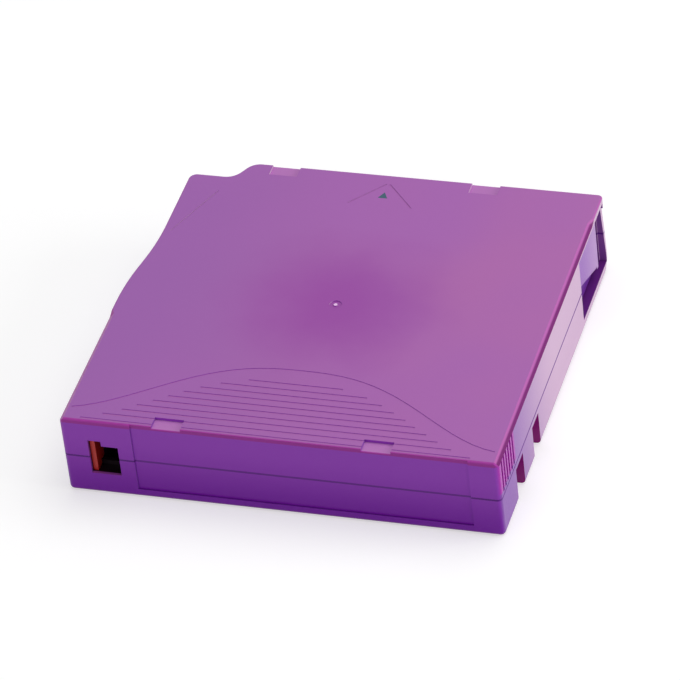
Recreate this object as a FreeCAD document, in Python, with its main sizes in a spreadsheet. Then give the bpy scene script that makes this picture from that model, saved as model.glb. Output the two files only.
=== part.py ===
"""Half-inch linear data tape cartridge: a reel of tape in a two-part moulded case.

Units are millimetres.  The origin is the middle of the underside, +Z is up and +Y is
the way the cartridge goes into a drive, so the label face is at -Y and the tape door
at the front of the +X side.  All sizes live in the spreadsheet "Dims".
"""
import FreeCAD
import Part
import Sketcher
import math
import os
from types import SimpleNamespace

V = FreeCAD.Vector
SQRT2 = math.sqrt(2)
GRIP_TRIES = 200  # places tried across half the case for the end of a grip line

# name, value, what it sizes
SIZES = [
    ("case_width", 105.4, "overall width, side to side"),
    ("case_depth", 102.0, "overall depth, label face to front"),
    ("case_height", 21.5, "overall height"),
    ("seam_height", 10.75, "height of the joint between the two shells"),
    ("wall", 1.8, "side wall thickness"),
    ("floor_thickness", 1.6, "lower shell floor"),
    ("roof_thickness", 1.6, "upper shell roof"),
    ("corner_radius", 1.2, "vertical corner rounding"),
    ("edge_radius", 0.5, "rounding of the outer top edges"),
    ("foot_radius", 1.1, "rounding of the outer bottom edges"),
    ("seam_chamfer", 0.16, "bevel on each shell along the seam"),
    ("side_bevel", 1.1, "wide bevel along the top side edges"),
    ("side_bevel_end", 9.0, "distance of the bevel's end from the front"),
    ("side_bevel_fade", 2.5, "length over which the bevel runs out"),
    ("side_bevel_spill", 0.1, "how far the bevel's cut starts outside the shell"),
    ("nose_chamfer", 4.0, "bevel under the front edge"),
    ("nose_wall", 1.2, "wall thickness behind the front bevel"),
    ("step_front_x", 35.3, "where the front left step starts, from the middle"),
    ("step_front_run", 3.4, "width of the front step's slope"),
    ("step_front_set", 6.2, "how far the front edge is set back"),
    ("step_front_radius", 4.0, "rounding of the front step"),
    ("step_corner_radius", 2.0, "rounding of the stepped corner"),
    ("step_side_set", 3.1, "how far the left side is set in"),
    ("step_side_start", 34.0, "set-in side: distance of its end from the front"),
    ("step_side_run", 17.0, "length of the side step's slope"),
    ("step_side_radius", 75.0, "rounding of the side step"),
    ("picker_depth", 3.2, "library picker notch depth"),
    ("picker_height", 9.25, "library picker notches, top edge"),
    ("picker_rear", 12.9, "rear picker notch, from the label face"),
    ("picker_rear_length", 6.3, "rear picker notch length"),
    ("picker_front", 28.1, "front picker notch, from the label face"),
    ("picker_front_length", 5.7, "front picker notch length"),
    ("rim_notch_width", 7.1, "shallow stacking notches in the top edges"),
    ("rim_notch_length", 4.0, "stacking notch, along the depth"),
    ("rim_notch_depth", 0.7, "stacking notch depth"),
    ("rim_notch_left", 26.7, "middle of the left notches, from the middle"),
    ("rim_notch_right", 23.7, "middle of the right notches, from the middle"),
    ("label_left", 35.4, "label recess, left end from the middle"),
    ("label_right", 45.5, "label recess, right end from the middle"),
    ("label_bottom", 2.4, "label recess, lower edge"),
    ("label_depth", 0.4, "label recess depth"),
    ("bell_tail", 4.2, "grip line: its low ends, from the label face"),
    ("bell_height", 21.5, "grip line: rise of the bell"),
    ("bell_middle", 1.0, "grip line: its peak, left of the middle"),
    ("bell_spread", 54.0, "grip line: reach of each side"),
    ("bell_power", 1.3, "grip line: fullness of the shoulders"),
    ("bell_runs", 36, "grip line: straight runs that draw it"),
    ("line_width", 0.4, "width of an engraved line"),
    ("line_depth", 0.12, "depth of an engraved line"),
    ("grip_pitch", 2.14, "spacing of the grip lines"),
    ("grip_first", 1.2, "rearmost grip line, from the label face"),
    ("grip_count", 10, "number of grip lines"),
    ("grip_margin", 4.2, "gap between grip lines and the bell"),
    ("grip_line_width", 0.6, "width of a grip line"),
    ("side_grip_pitch", 1.9, "spacing of the side grip grooves"),
    ("side_grip_count", 6, "side grip grooves on each side"),
    ("side_grip_width", 0.9, "width of a side grip groove"),
    ("side_grip_depth", 0.4, "depth of a side grip groove"),
    ("side_grip_start", 2.2, "first side grip groove, from the label face"),
    ("arrow_tip", 3.7, "insertion arrow: apex, from the front"),
    ("arrow_half", 7.5, "insertion arrow: half width of its lines"),
    ("arrow_rise", 8.5, "insertion arrow: length along the depth"),
    ("crease_width", 0.2, "width of the faint corner line"),
    ("crease_side", 1.9, "faint corner line: rear end, from the set-in side"),
    ("crease_front", 8.9, "faint corner line: front end, from the set-in side"),
    ("crease_length", 23.1, "faint corner line: rear end, from the stepped front"),
    ("crease_gap", 6.0, "faint corner line: front end, from the stepped front"),
    ("gate_radius", 1.5, "moulding gate dimple"),
    ("gate_depth", 0.2, "moulding gate dimple depth"),
    ("gate_pip", 0.5, "moulding gate, the pip left in the middle"),
    ("switch_left", 46.3, "write-protect window, left end from the middle"),
    ("switch_width", 7.25, "write-protect window width"),
    ("switch_bottom", 6.0, "write-protect window, lower edge"),
    ("switch_height", 9.7, "write-protect window height"),
    ("switch_notch", 3.2, "width of the notch above the window, where the lug shows"),
    ("switch_rise", 1.4, "height of the notch above the window"),
    ("switch_skin", 0.9, "wall left in front of the lug, beside the notch"),
    ("switch_plate", 1.7, "write-protect slider plate thickness"),
    ("switch_lug", 1.3, "write-protect slider finger lug width"),
    ("switch_fin", 2.2, "depth of the fin behind the slider's plate"),
    ("switch_lip", 1.1, "lips that hold the slider from behind"),
    ("switch_travel", 5.6, "write-protect slider travel"),
    ("slide_clearance", 0.1, "gap round sliding pieces"),
    ("fit_clearance", 0.05, "radial gap of fitted round pieces"),
    ("door_start", 25.0, "door opening: rear end, from the front"),
    ("door_end", 1.5, "door opening: front end, from the front"),
    ("door_gap", 0.35, "gap round the door"),
    ("sill_height", 1.0, "sill under the door, above the floor"),
    ("sill_width", 6.2, "sill under the door, from the case side"),
    ("door_inset", 0.4, "door face, from the case side"),
    ("door_wall", 1.2, "door thickness"),
    ("door_scoop_set", 1.9, "how far the door's foot is set in"),
    ("door_scoop_rear", 12.0, "height where the door turns in, at its rear end"),
    ("door_scoop_front", 5.6, "height where the door turns in, at its front end"),
    ("door_scoop_rise", 2.0, "height of the turn"),
    ("door_scoop_radius", 1.4, "rounding of the turn"),
    ("door_nose", 7.7, "front end of the door's face, from the front"),
    ("door_nose_radius", 1.1, "rounding of the door's front end"),
    ("pivot_inset", 3.2, "door pin, from the case side"),
    ("pivot_front", 4.7, "door pin, from the front"),
    ("knuckle_radius", 1.6, "door knuckle"),
    ("door_pin_radius", 0.75, "door pin"),
    ("pin_socket", 0.8, "depth of the door pin in floor and roof"),
    ("spring_slot", 6.0, "height of the gap in the knuckle for the spring"),
    ("door_spring_wire", 0.35, "door spring wire"),
    ("door_spring_turns", 5, "door spring turns"),
    ("door_spring_leg", 4.5, "door spring legs"),
    ("post_set", 0.7, "front post, set in from the case side"),
    ("post_top", 3.0, "top of the set-in part of the post, from the roof top"),
    ("reel_clearance", 2.4, "gap between reel flanges and front wall"),
    ("reel_float", 0.2, "gap between reel and floor"),
    ("hub_radius", 22.0, "reel hub, tape side"),
    ("hub_wall", 2.4, "reel hub wall"),
    ("web_thickness", 2.0, "hub web"),
    ("flange_thickness", 1.1, "reel flanges"),
    ("flange_rise", 1.4, "lower flange above the bearing ring's foot"),
    ("bearing_width", 2.0, "width of the ring that the reel stands on"),
    ("hub_opening", 22.6, "radius of the drive opening in the floor"),
    ("bearing_gap", 0.4, "gap between the opening's edge and the ring that the reel stands on"),
    ("tape_width", 12.65, "half-inch tape"),
    ("tape_play", 0.1, "gap between tape and each flange"),
    ("pack_margin", 1.3, "flange beyond the wound tape"),
    ("film_thickness", 0.12, "tape film, drawn thicker than it is"),
    ("tooth_count", 60, "teeth on each ring"),
    ("drive_ring_outer", 20.6, "drive teeth, outer radius"),
    ("drive_ring_width", 4.2, "drive teeth, radial length"),
    ("drive_ring_height", 1.3, "drive teeth ring height"),
    ("drive_tooth", 0.9, "drive tooth depth"),
    ("drive_tooth_width", 1.3, "drive tooth gap width"),
    ("brake_ring_outer", 17.0, "brake teeth, outer radius"),
    ("brake_ring_width", 3.6, "brake teeth, radial length"),
    ("brake_ring_height", 1.2, "brake tooth ring height"),
    ("brake_tooth", 0.9, "brake tooth depth"),
    ("brake_tooth_width", 1.1, "brake tooth gap width"),
    ("clutch_outer", 15.6, "steel clutch plate, outer radius"),
    ("clutch_inner", 4.0, "steel clutch plate, inner radius"),
    ("clutch_thickness", 1.0, "steel clutch plate"),
    ("leg_circle", 9.4, "radius of the circle of the release legs"),
    ("leg_radius", 1.5, "release leg"),
    ("leg_gap", 0.4, "gap round a release leg"),
    ("leg_recess", 0.3, "release leg end above the clutch plate's face"),
    ("spider_thickness", 1.0, "release spider"),
    ("spider_hub", 4.6, "release spider, middle disc radius"),
    ("spider_arm", 4.2, "release spider, arm width"),
    ("brake_thickness", 1.5, "brake button disc"),
    ("brake_travel", 2.0, "lift that frees the brake"),
    ("sleeve_radius", 6.4, "brake button sleeve"),
    ("sleeve_height", 5.6, "brake button sleeve height"),
    ("cross_length", 9.0, "cross post, tip to tip"),
    ("cross_width", 2.6, "cross post, arm width"),
    ("cross_gap", 0.5, "gap under the cross post with the brake lifted"),
    ("spring_radius", 7.8, "brake spring, middle of the wire"),
    ("spring_wire", 0.5, "brake spring wire radius"),
    ("spring_turns", 5, "brake spring turns"),
    ("leader_inset", 8.2, "leader pin, from the case side"),
    ("leader_front", 15.0, "leader pin, from the front"),
    ("leader_end_gap", 0.15, "gap between leader pin and each shell"),
    ("leader_head_radius", 2.0, "leader pin end flanges"),
    ("leader_head_length", 1.4, "leader pin end flange length"),
    ("leader_neck_radius", 1.0, "leader pin neck"),
    ("leader_neck_length", 1.2, "leader pin neck length"),
    ("leader_body_radius", 1.25, "leader pin body"),
    ("clip_wall", 0.8, "tape clip wall"),
    ("clip_mouth", 1.5, "tape clip slot"),
    ("leaf_thickness", 0.3, "leader pin spring sheet"),
    ("leaf_reach", 1.4, "spring arm beyond the pin's axis"),
    ("leaf_setback", 1.4, "spring back, behind the pin's flange"),
    ("leaf_band", 1.2, "height of a spring arm"),
    ("leaf_stop", 4.8, "height of the ribs that back the spring"),
    ("screw_rear_side", 6.2, "rear screws, from the case side"),
    ("screw_rear_back", 9.0, "rear screws, from the label face"),
    ("screw_front_side", 14.2, "front right screw, from the case side"),
    ("screw_front_front", 5.5, "front right screw, from the front"),
    ("screw_step_side", 8.6, "front left screw, from the case side"),
    ("screw_step_front", 11.4, "front left screw, from the front"),
    ("boss_radius", 2.9, "screw boss"),
    ("screw_head_radius", 2.0, "screw head"),
    ("screw_head_height", 1.5, "screw head height"),
    ("screw_recess", 2.2, "depth of the screw recess"),
    ("screw_radius", 1.0, "screw shank"),
    ("screw_length", 13.0, "screw shank length"),
    ("screw_tip_gap", 0.3, "room beyond the screw's tip"),
    ("screw_key", 1.0, "screw key hole, across its corners"),
    ("datum_radius", 2.0, "locating hole in the underside"),
    ("datum_depth", 3.4, "locating hole depth"),
    ("datum_left", 28.0, "left locating hole, from the middle"),
    ("datum_right", 28.0, "right locating hole, from the middle"),
    ("datum_front", 6.6, "locating holes, from the front"),
    ("datum_wall", 1.1, "wall round a locating hole"),
    ("board_start", 23.5, "memory board, left end from the middle"),
    ("board_length", 19.0, "memory board length"),
    ("board_width", 9.0, "memory board width up its slope"),
    ("board_thickness", 0.6, "memory board"),
    ("gusset_reach", 7.0, "memory board gusset, height and depth"),
    ("gusset_width", 1.2, "memory board gusset thickness"),
    ("chip_length", 4.0, "memory chip length"),
    ("chip_thickness", 0.7, "memory chip thickness"),
]

doc = FreeCAD.newDocument("tape_cartridge")
sheet = doc.addObject("Spreadsheet::Sheet", "Dims")


class Size:
    """A length that carries its spreadsheet formula beside its value."""

    def __init__(self, text, value):
        self.text = text
        self.value = value

    def join(self, sign, other, value):
        """Combine two sizes, or a size and a number, under an operator."""
        return Size(f"({self.text} {sign} {as_size(other).text})", value)

    def __add__(self, other):
        return self.join("+", other, self.value + float(other))

    def __sub__(self, other):
        return self.join("-", other, self.value - float(other))

    def __mul__(self, other):
        return self.join("*", other, self.value * float(other))

    def __truediv__(self, other):
        return self.join("/", other, self.value / float(other))

    def __radd__(self, other):
        return as_size(other) + self

    def __rsub__(self, other):
        return as_size(other) - self

    def __rmul__(self, other):
        return as_size(other) * self

    def __neg__(self):
        return Size(f"(0 - {self.text})", -self.value)

    def __float__(self):
        return float(self.value)


def as_size(item):
    """Give a plain number the form of a size."""
    return item if isinstance(item, Size) else Size(f"({item})", item)


def fill_sheet():
    """Write each driving dimension with its alias, and give them back as sizes."""
    for row, (name, number, words) in enumerate(SIZES, start=1):
        sheet.set(f"A{row}", words)
        sheet.set(f"B{row}", str(number))
        sheet.setAlias(f"B{row}", name)
    doc.recompute()
    return SimpleNamespace(**{name: Size(f"Dims.{name}", number) for name, number, _ in SIZES})


s = fill_sheet()

ZERO = Size("0", 0)

# places that several pieces share
half_w = s.case_width / 2
half_d = s.case_depth / 2
top = s.case_height
seam = s.seam_height
floor_z = s.floor_thickness
roof_z = top - s.roof_thickness
inner_x = half_w - s.wall
inner_y = half_d - s.wall
sill_z = floor_z + s.sill_height
reel_radius = inner_y - s.reel_clearance
foot_z = floor_z + s.reel_float
flange_z = foot_z + s.flange_rise
flange_top_z = flange_z + s.flange_thickness
upper_flange_z = flange_top_z + s.tape_width + s.tape_play * 2
tape_z = flange_top_z + s.tape_play
web_top_z = flange_z + s.web_thickness
brake_ring_z = web_top_z + s.brake_ring_height
brake_z = brake_ring_z + s.slide_clearance
brake_top_z = brake_z + s.brake_thickness
spider_z = web_top_z + s.slide_clearance
spider_top_z = spider_z + s.spider_thickness
post_z = brake_top_z + s.brake_travel + s.cross_gap
pivot_x = half_w - s.pivot_inset
pivot_y = half_d - s.pivot_front
door_x = half_w - s.door_inset
door_z = sill_z + s.door_gap
door_top_z = roof_z - s.door_gap
leader_x = half_w - s.leader_inset
leader_y = half_d - s.leader_front
leaf_x = leader_x - s.leader_head_radius - s.leaf_setback
window_x = -s.switch_left
window_top_z = s.switch_bottom + s.switch_height
rail_z = window_top_z - s.switch_rise
guide_y = -inner_y
lip_y = guide_y + s.switch_plate + s.slide_clearance * 2
guide_end_x = window_x + s.switch_width + s.switch_lip
SCREWS = [
    (half_w - s.screw_rear_side, s.screw_rear_back - half_d),
    (s.screw_rear_side - half_w, s.screw_rear_back - half_d),
    (half_w - s.screw_front_side, half_d - s.screw_front_front),
    (s.screw_step_side - half_w, half_d - s.screw_step_front),
]
DATUMS = [
    (-s.datum_left, half_d - s.datum_front),
    (s.datum_right, half_d - s.datum_front),
]


def bind(item, prop, length):
    """Tie a property to a formula of sheet sizes."""
    item.setExpression(prop, as_size(length).text)


def new_body(label, x=None, y=None):
    """Make an empty body with its own label, moved to a place if one is given."""
    body = doc.addObject("PartDesign::Body", label)
    body.Label = label
    for axis, place in (("x", x), ("y", y)):
        if place is not None:
            bind(body, f"Placement.Base.{axis}", place)
    return body


def new_sketch(body, plane="XY_Plane", offset=None):
    """Make a sketch on an origin plane of the body, moved along its normal."""
    sketch = body.newObject("Sketcher::SketchObject", f"{body.Label}_sketch")
    plane = [item for item in body.Origin.OriginFeatures if item.Role == plane][0]
    sketch.AttachmentSupport = [(plane, "")]
    sketch.MapMode = "FlatFace"
    if offset is not None:
        bind(sketch, "AttachmentOffset.Base.z", offset)
    return sketch


def loop(sketch, points):
    """Add a closed run of straight lines, each corner tied to the sheet."""
    spots = [V(float(x), float(y), 0) for x, y in points]
    first = sketch.GeometryCount
    count = len(points)
    for index, spot in enumerate(spots):
        sketch.addGeometry(Part.LineSegment(spot, spots[(index + 1) % count]), False)
    for index in range(count):
        ends = (first + index, 2, first + (index + 1) % count, 1)
        sketch.addConstraint(Sketcher.Constraint("Coincident", *ends))
    for index, (x, y) in enumerate(points):
        for kind, length in (("DistanceX", x), ("DistanceY", y)):
            rule = Sketcher.Constraint(kind, -1, 1, first + index, 1, float(length))
            bind(sketch, f"Constraints[{sketch.addConstraint(rule)}]", length)


def box(sketch, x0, y0, x1, y1):
    """Add a rectangle between two corners."""
    loop(sketch, [(x0, y0), (x1, y0), (x1, y1), (x0, y1)])


def ring(sketch, x, y, radius):
    """Add a circle with its centre and radius tied to the sheet."""
    middle = V(float(x), float(y), 0)
    circle = sketch.addGeometry(Part.Circle(middle, V(0, 0, 1), float(radius)), False)
    for kind, length in (("DistanceX", x), ("DistanceY", y)):
        rule = Sketcher.Constraint(kind, -1, 1, circle, 3, float(length))
        bind(sketch, f"Constraints[{sketch.addConstraint(rule)}]", length)
    rule = Sketcher.Constraint("Radius", circle, float(radius))
    bind(sketch, f"Constraints[{sketch.addConstraint(rule)}]", radius)


def trace(sketch, points):
    """Add a closed outline through worked-out points, as straight lines."""
    spots = [V(x, y, 0) for x, y in points]
    for start, end in zip(spots, spots[1:] + spots[:1]):
        sketch.addGeometry(Part.LineSegment(start, end), False)


def extrude(body, kind, sketch, length, along):
    """Pad or pocket a sketch along (+1) or against (-1) its normal."""
    feature = body.newObject(f"PartDesign::{kind}", f"{body.Label}_{kind.lower()}")
    feature.Profile = sketch
    bind(feature, "Length", length)
    feature.Reversed = along < 0 if kind == "Pad" else along > 0
    return feature


def pad(body, sketch, length, along=1):
    """Add the sketch's outline to the body."""
    return extrude(body, "Pad", sketch, length, along)


def pocket(body, sketch, length, along=-1):
    """Cut the sketch's outline out of the body, and make sure that it cuts."""
    before = solid_volume(body)
    feature = extrude(body, "Pocket", sketch, length, along)
    if not solid_volume(body) < before:
        raise ValueError(f"{feature.Name} cuts nothing")
    return feature


def solid_volume(body):
    """Recompute the body and give its volume."""
    doc.recompute()
    return body.Shape.Volume


def round_off(body, kind, radius, wanted):
    """Fillet or chamfer the edges of the body that pass a test."""
    doc.recompute()
    base = body.Tip
    edges = [f"Edge{n}" for n, edge in enumerate(base.Shape.Edges, start=1) if wanted(edge)]
    if not edges:
        raise ValueError(f"{body.Label} has no edge to round")
    feature = body.newObject(f"PartDesign::{kind}", f"{body.Label}_{kind.lower()}")
    feature.Base = (base, edges)
    bind(feature, "Radius" if kind == "Fillet" else "Size", radius)
    return feature


def copy_round(body, features, count):
    """Repeat features round the body's Z axis."""
    pattern = body.newObject("PartDesign::PolarPattern", f"{body.Label}_ring")
    pattern.Originals = features
    axis = [item for item in body.Origin.OriginFeatures if item.Role == "Z_Axis"][0]
    pattern.Axis = (axis, [""])
    pattern.Angle = 360
    bind(pattern, "Occurrences", count)
    body.Tip = pattern
    return pattern


def upright_at(x, y):
    """Make a test for the upright edge at a corner."""
    spot = V(float(x), float(y), 0)

    def wanted(edge):
        ends = [vertex.Point for vertex in edge.Vertexes]
        return all(V(p.x, p.y, 0).distanceToPoint(spot) < 0.01 for p in ends)

    return wanted


def level_at(z):
    """Make a test for edges that lie at one height."""

    def wanted(edge):
        return all(abs(vertex.Z - float(z)) < 0.001 for vertex in edge.Vertexes)

    return wanted


# ---------------------------------------------------------------- the two shells


def case_corners():
    """List the outline's corners, each with its rounding radius."""
    step_y = half_d - s.step_front_set
    side_x = s.step_side_set - half_w
    side_y = half_d - s.step_side_start
    return [
        (-half_w, -half_d, s.corner_radius),
        (half_w, -half_d, s.corner_radius),
        (half_w, half_d, s.corner_radius),
        (-s.step_front_x, half_d, s.step_front_radius),
        (-s.step_front_x - s.step_front_run, step_y, s.step_front_radius),
        (side_x, step_y, s.step_corner_radius),
        (side_x, side_y, s.step_side_radius),
        (-half_w, side_y - s.step_side_run, s.step_side_radius),
    ]


def cavity_outline():
    """List the corners of the room inside both shells."""
    jog_x = half_w - s.picker_depth - s.wall
    jog_back = s.picker_rear - half_d - s.wall
    jog_front = s.picker_front + s.picker_front_length + s.wall - half_d
    step_y = inner_y - s.step_front_set
    side_x = s.step_side_set - inner_x
    side_y = half_d - s.step_side_start
    return [
        (-inner_x, -inner_y),
        (inner_x, -inner_y),
        (inner_x, jog_back),
        (jog_x, jog_back),
        (jog_x, jog_front),
        (inner_x, jog_front),
        (inner_x, inner_y),
        (s.wall - s.step_front_x, inner_y),
        (s.wall - s.step_front_x, step_y),
        (side_x, step_y),
        (side_x, side_y),
        (-inner_x, side_y - s.step_side_run),
        (-inner_x, jog_front),
        (-jog_x, jog_front),
        (-jog_x, jog_back),
        (-inner_x, jog_back),
    ]


def shell_blank(label, low, high, edge_z, edge_radius):
    """Make a shell's solid block with its corners, outer edges and seam bevel."""
    body = new_body(label)
    sketch = new_sketch(body, offset=low)
    loop(sketch, [(x, y) for x, y, _ in case_corners()])
    pad(body, sketch, high - low)
    for x, y, radius in case_corners():
        round_off(body, "Fillet", radius, upright_at(x, y))
    round_off(body, "Fillet", edge_radius, level_at(edge_z))
    round_off(body, "Chamfer", s.seam_chamfer, level_at(seam))
    return body


def hollow(body, depth, along):
    """Open the room inside a shell from the seam."""
    sketch = new_sketch(body, offset=seam)
    loop(sketch, cavity_outline())
    pocket(body, sketch, depth, along)


def cut_label(body, low, high):
    """Cut the shallow label recess in the rear face."""
    sketch = new_sketch(body, "XZ_Plane", half_d)
    box(sketch, -s.label_left, low, s.label_right, high)
    pocket(body, sketch, s.label_depth)


def cut_window(body, low, high):
    """Cut the write-protect window through the rear wall."""
    sketch = new_sketch(body, "XZ_Plane", half_d)
    box(sketch, window_x, low, window_x + s.switch_width, high)
    pocket(body, sketch, s.wall)


def cut_lug_slot(body):
    """Cut the notch above the window, and the slot behind the wall that the lug slides in."""
    for setback, width in ((ZERO, s.switch_notch), (s.switch_skin, s.switch_width)):
        sketch = new_sketch(body, "XZ_Plane", half_d - setback)
        box(sketch, window_x, rail_z, window_x + width, window_top_z)
        pocket(body, sketch, s.wall - setback)


def cut_doorway(body, low, high):
    """Cut the door opening through the side wall, and lean the front post back."""
    sketch = new_sketch(body, "YZ_Plane", half_w)
    box(sketch, half_d - s.door_start, low, half_d - s.door_end, high)
    pocket(body, sketch, s.wall)
    sketch = new_sketch(body, "XZ_Plane", -half_d)
    shoulder_z = top - s.post_top
    lean = [(half_w - s.post_set, shoulder_z), (half_w, shoulder_z), (half_w, s.nose_chamfer)]
    loop(sketch, lean)
    pocket(body, sketch, s.door_end, along=1)


def add_guide(body, start, rise, along):
    """Add a slide rail behind the window, and the lip that holds the slider."""
    for back, height in ((guide_y, rise), (lip_y, rise + s.switch_lip)):
        sketch = new_sketch(body, offset=start)
        box(sketch, -inner_x, back, guide_end_x, lip_y + s.switch_lip)
        pad(body, sketch, height, along)


def add_bosses(body, start, height, along):
    """Add the round screw bosses."""
    sketch = new_sketch(body, offset=start)
    for x, y in SCREWS:
        ring(sketch, x, y, s.boss_radius)
    pad(body, sketch, height, along)


def drill_screws(body, start, radius, depth, along):
    """Drill one stage of the screw holes."""
    sketch = new_sketch(body, offset=start)
    for x, y in SCREWS:
        ring(sketch, x, y, radius)
    pocket(body, sketch, depth, along)


def add_leader_stop(body, start, along):
    """Add the rib that backs the leader pin's spring."""
    sketch = new_sketch(body, offset=start)
    reach = s.leader_head_radius + s.leaf_thickness
    box(sketch, leaf_x - s.wall, leader_y - reach, leaf_x, leader_y + reach)
    pad(body, sketch, s.leaf_stop, along)


def make_lower_shell():
    """Build the lower shell: floor, walls, drive opening, notches and seats."""
    body = shell_blank("lower_shell", ZERO, seam, ZERO, s.foot_radius)
    nose = new_sketch(body, "YZ_Plane", half_w)
    loop(nose, [(half_d - s.nose_chamfer, 0), (half_d, 0), (half_d, s.nose_chamfer)])
    pocket(body, nose, s.case_width)
    hollow(body, seam - floor_z, -1)
    thicken_nose(body)
    sill = new_sketch(body, offset=floor_z)
    box(sill, half_w - s.sill_width, half_d - s.door_start, inner_x, inner_y)
    pad(body, sill, s.sill_height)
    cut_pickers(body)
    cut_label(body, s.label_bottom, seam)
    cut_window(body, s.switch_bottom, seam)
    cut_doorway(body, sill_z, seam)
    add_guide(body, floor_z, s.switch_bottom - floor_z, 1)
    add_bosses(body, floor_z, seam - floor_z, 1)
    drill_screws(body, ZERO, s.screw_head_radius + s.slide_clearance, s.screw_recess, 1)
    drill_screws(body, ZERO, s.screw_radius + s.slide_clearance, seam, 1)
    add_datums(body)
    opening = new_sketch(body)
    ring(opening, 0, 0, s.hub_opening)
    pocket(body, opening, floor_z, 1)
    add_gussets(body)
    add_leader_stop(body, floor_z, 1)
    socket = new_sketch(body, offset=sill_z)
    ring(socket, pivot_x, pivot_y, s.door_pin_radius + s.fit_clearance)
    pocket(body, socket, s.pin_socket, -1)
    stop = new_sketch(body, offset=sill_z)
    stop_x = pivot_x - s.knuckle_radius - s.door_gap * 2
    stop_y = pivot_y + door_spring_radius() + s.door_spring_wire / 2 + s.fit_clearance
    box(stop, stop_x - s.wall, stop_y, stop_x, inner_y)
    pad(body, stop, seam - sill_z)
    return body


def thicken_nose(body):
    """Add the slope that backs the bevel under the front edge."""
    reach = s.nose_chamfer - s.wall - floor_z + s.nose_wall * SQRT2
    end_x = half_w - s.sill_width
    sketch = new_sketch(body, "YZ_Plane", end_x)
    loop(sketch, [(inner_y - reach, floor_z), (inner_y, floor_z), (inner_y, floor_z + reach)])
    pad(body, sketch, end_x + s.step_front_x - s.wall, -1)


def cut_pickers(body):
    """Cut the library picker notches in both sides."""
    for side, along in ((half_w, -1), (-half_w, 1)):
        sketch = new_sketch(body, "YZ_Plane", side)
        rear = s.picker_rear - half_d
        front = s.picker_front - half_d
        box(sketch, rear, 0, rear + s.picker_rear_length, s.picker_height)
        box(sketch, front, 0, front + s.picker_front_length, s.picker_height)
        pocket(body, sketch, s.picker_depth, along)


def add_datums(body):
    """Add the locating holes that open underneath, each in a boss of its own."""
    sketch = new_sketch(body, offset=floor_z)
    for x, y in DATUMS:
        ring(sketch, x, y, s.datum_radius + s.datum_wall)
    pad(body, sketch, s.datum_depth)
    sketch = new_sketch(body)
    for x, y in DATUMS:
        ring(sketch, x, y, s.datum_radius)
    pocket(body, sketch, s.datum_depth, 1)


def add_gussets(body):
    """Add the two sloped ribs that carry the memory board."""
    reach = s.gusset_reach
    slope = [(guide_y, floor_z), (guide_y + reach, floor_z), (guide_y, floor_z + reach)]
    for x in (s.board_start + s.gusset_width, s.board_start + s.board_length - s.gusset_width * 2):
        sketch = new_sketch(body, "YZ_Plane", x)
        loop(sketch, slope)
        pad(body, sketch, s.gusset_width)


def make_upper_shell():
    """Build the upper shell: roof, walls, notches, grip and engraved lines."""
    body = shell_blank("upper_shell", seam, top, top, s.edge_radius)
    straight = s.case_depth - s.side_bevel_end - s.side_bevel_fade
    cut_side_bevel(body, half_w, -1, straight)
    cut_side_bevel(body, -half_w, 1, straight - s.step_side_start - s.step_side_run)
    hollow(body, roof_z - seam, 1)
    cut_rim_notches(body)
    cut_label(body, seam, top)
    cut_window(body, seam, rail_z)
    cut_lug_slot(body)
    cut_doorway(body, seam, roof_z)
    add_guide(body, roof_z, roof_z - rail_z, -1)
    add_bosses(body, roof_z, roof_z - seam, -1)
    pilot = s.screw_recess + s.screw_length + s.screw_tip_gap - seam
    drill_screws(body, seam, s.screw_radius + s.fit_clearance, pilot, 1)
    add_leader_stop(body, roof_z, -1)
    post = new_sketch(body, offset=post_z)
    loop(post, plus_sign(s.cross_length, s.cross_width))
    pad(body, post, roof_z - post_z)
    socket = new_sketch(body, offset=roof_z)
    ring(socket, pivot_x, pivot_y, s.door_pin_radius + s.fit_clearance)
    pocket(body, socket, s.pin_socket, 1)
    cut_side_grip(body)
    engrave_top(body)
    return body


def cut_side_bevel(body, side, inward, length):
    """Bevel a top side edge from the rear, and let the bevel run out to nothing."""
    ends = []
    fade_end = length + s.side_bevel_fade
    out_x = side - s.side_bevel_spill * inward
    out_z = top + s.side_bevel_spill
    for size, back in ((s.side_bevel, ZERO), (s.side_bevel, length), (s.edge_radius / 4, fade_end)):
        sketch = new_sketch(body, "XZ_Plane", half_d - back)
        reach = size + s.side_bevel_spill
        loop(sketch, [(side + reach * inward, out_z), (out_x, out_z), (out_x, top - reach)])
        ends.append(sketch)
    pocket(body, ends[0], length)
    run_out = body.newObject("PartDesign::SubtractiveLoft", "upper_shell_bevel_end")
    run_out.Profile, run_out.Sections = ends[1], ends[2:]
    run_out.Ruled = True


def plus_sign(length, width):
    """List the corners of a plus sign about the middle."""
    far = length / 2
    near = width / 2
    quarter = [(far, near), (near, near), (near, far), (-near, far), (-near, near), (-far, near)]
    return quarter + [(-x, -y) for x, y in quarter]


def cut_rim_notches(body):
    """Cut the shallow notches in the rear and front top edges."""
    sketch = new_sketch(body, offset=top)
    for back in (-half_d, half_d - s.rim_notch_length):
        for middle in (-s.rim_notch_left, s.rim_notch_right):
            left = middle - s.rim_notch_width / 2
            box(sketch, left, back, left + s.rim_notch_width, back + s.rim_notch_length)
    pocket(body, sketch, s.rim_notch_depth)


def cut_side_grip(body):
    """Cut the upright grip grooves near the rear of each side."""
    for side, along in ((half_w, -1), (-half_w, 1)):
        sketch = new_sketch(body, "YZ_Plane", side)
        for step in range(int(s.side_grip_count.value)):
            y = s.side_grip_start - half_d + s.side_grip_pitch * step
            box(sketch, y, seam + s.side_grip_width, y + s.side_grip_width, top - s.side_bevel)
        pocket(body, sketch, s.side_grip_depth, along)


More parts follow.
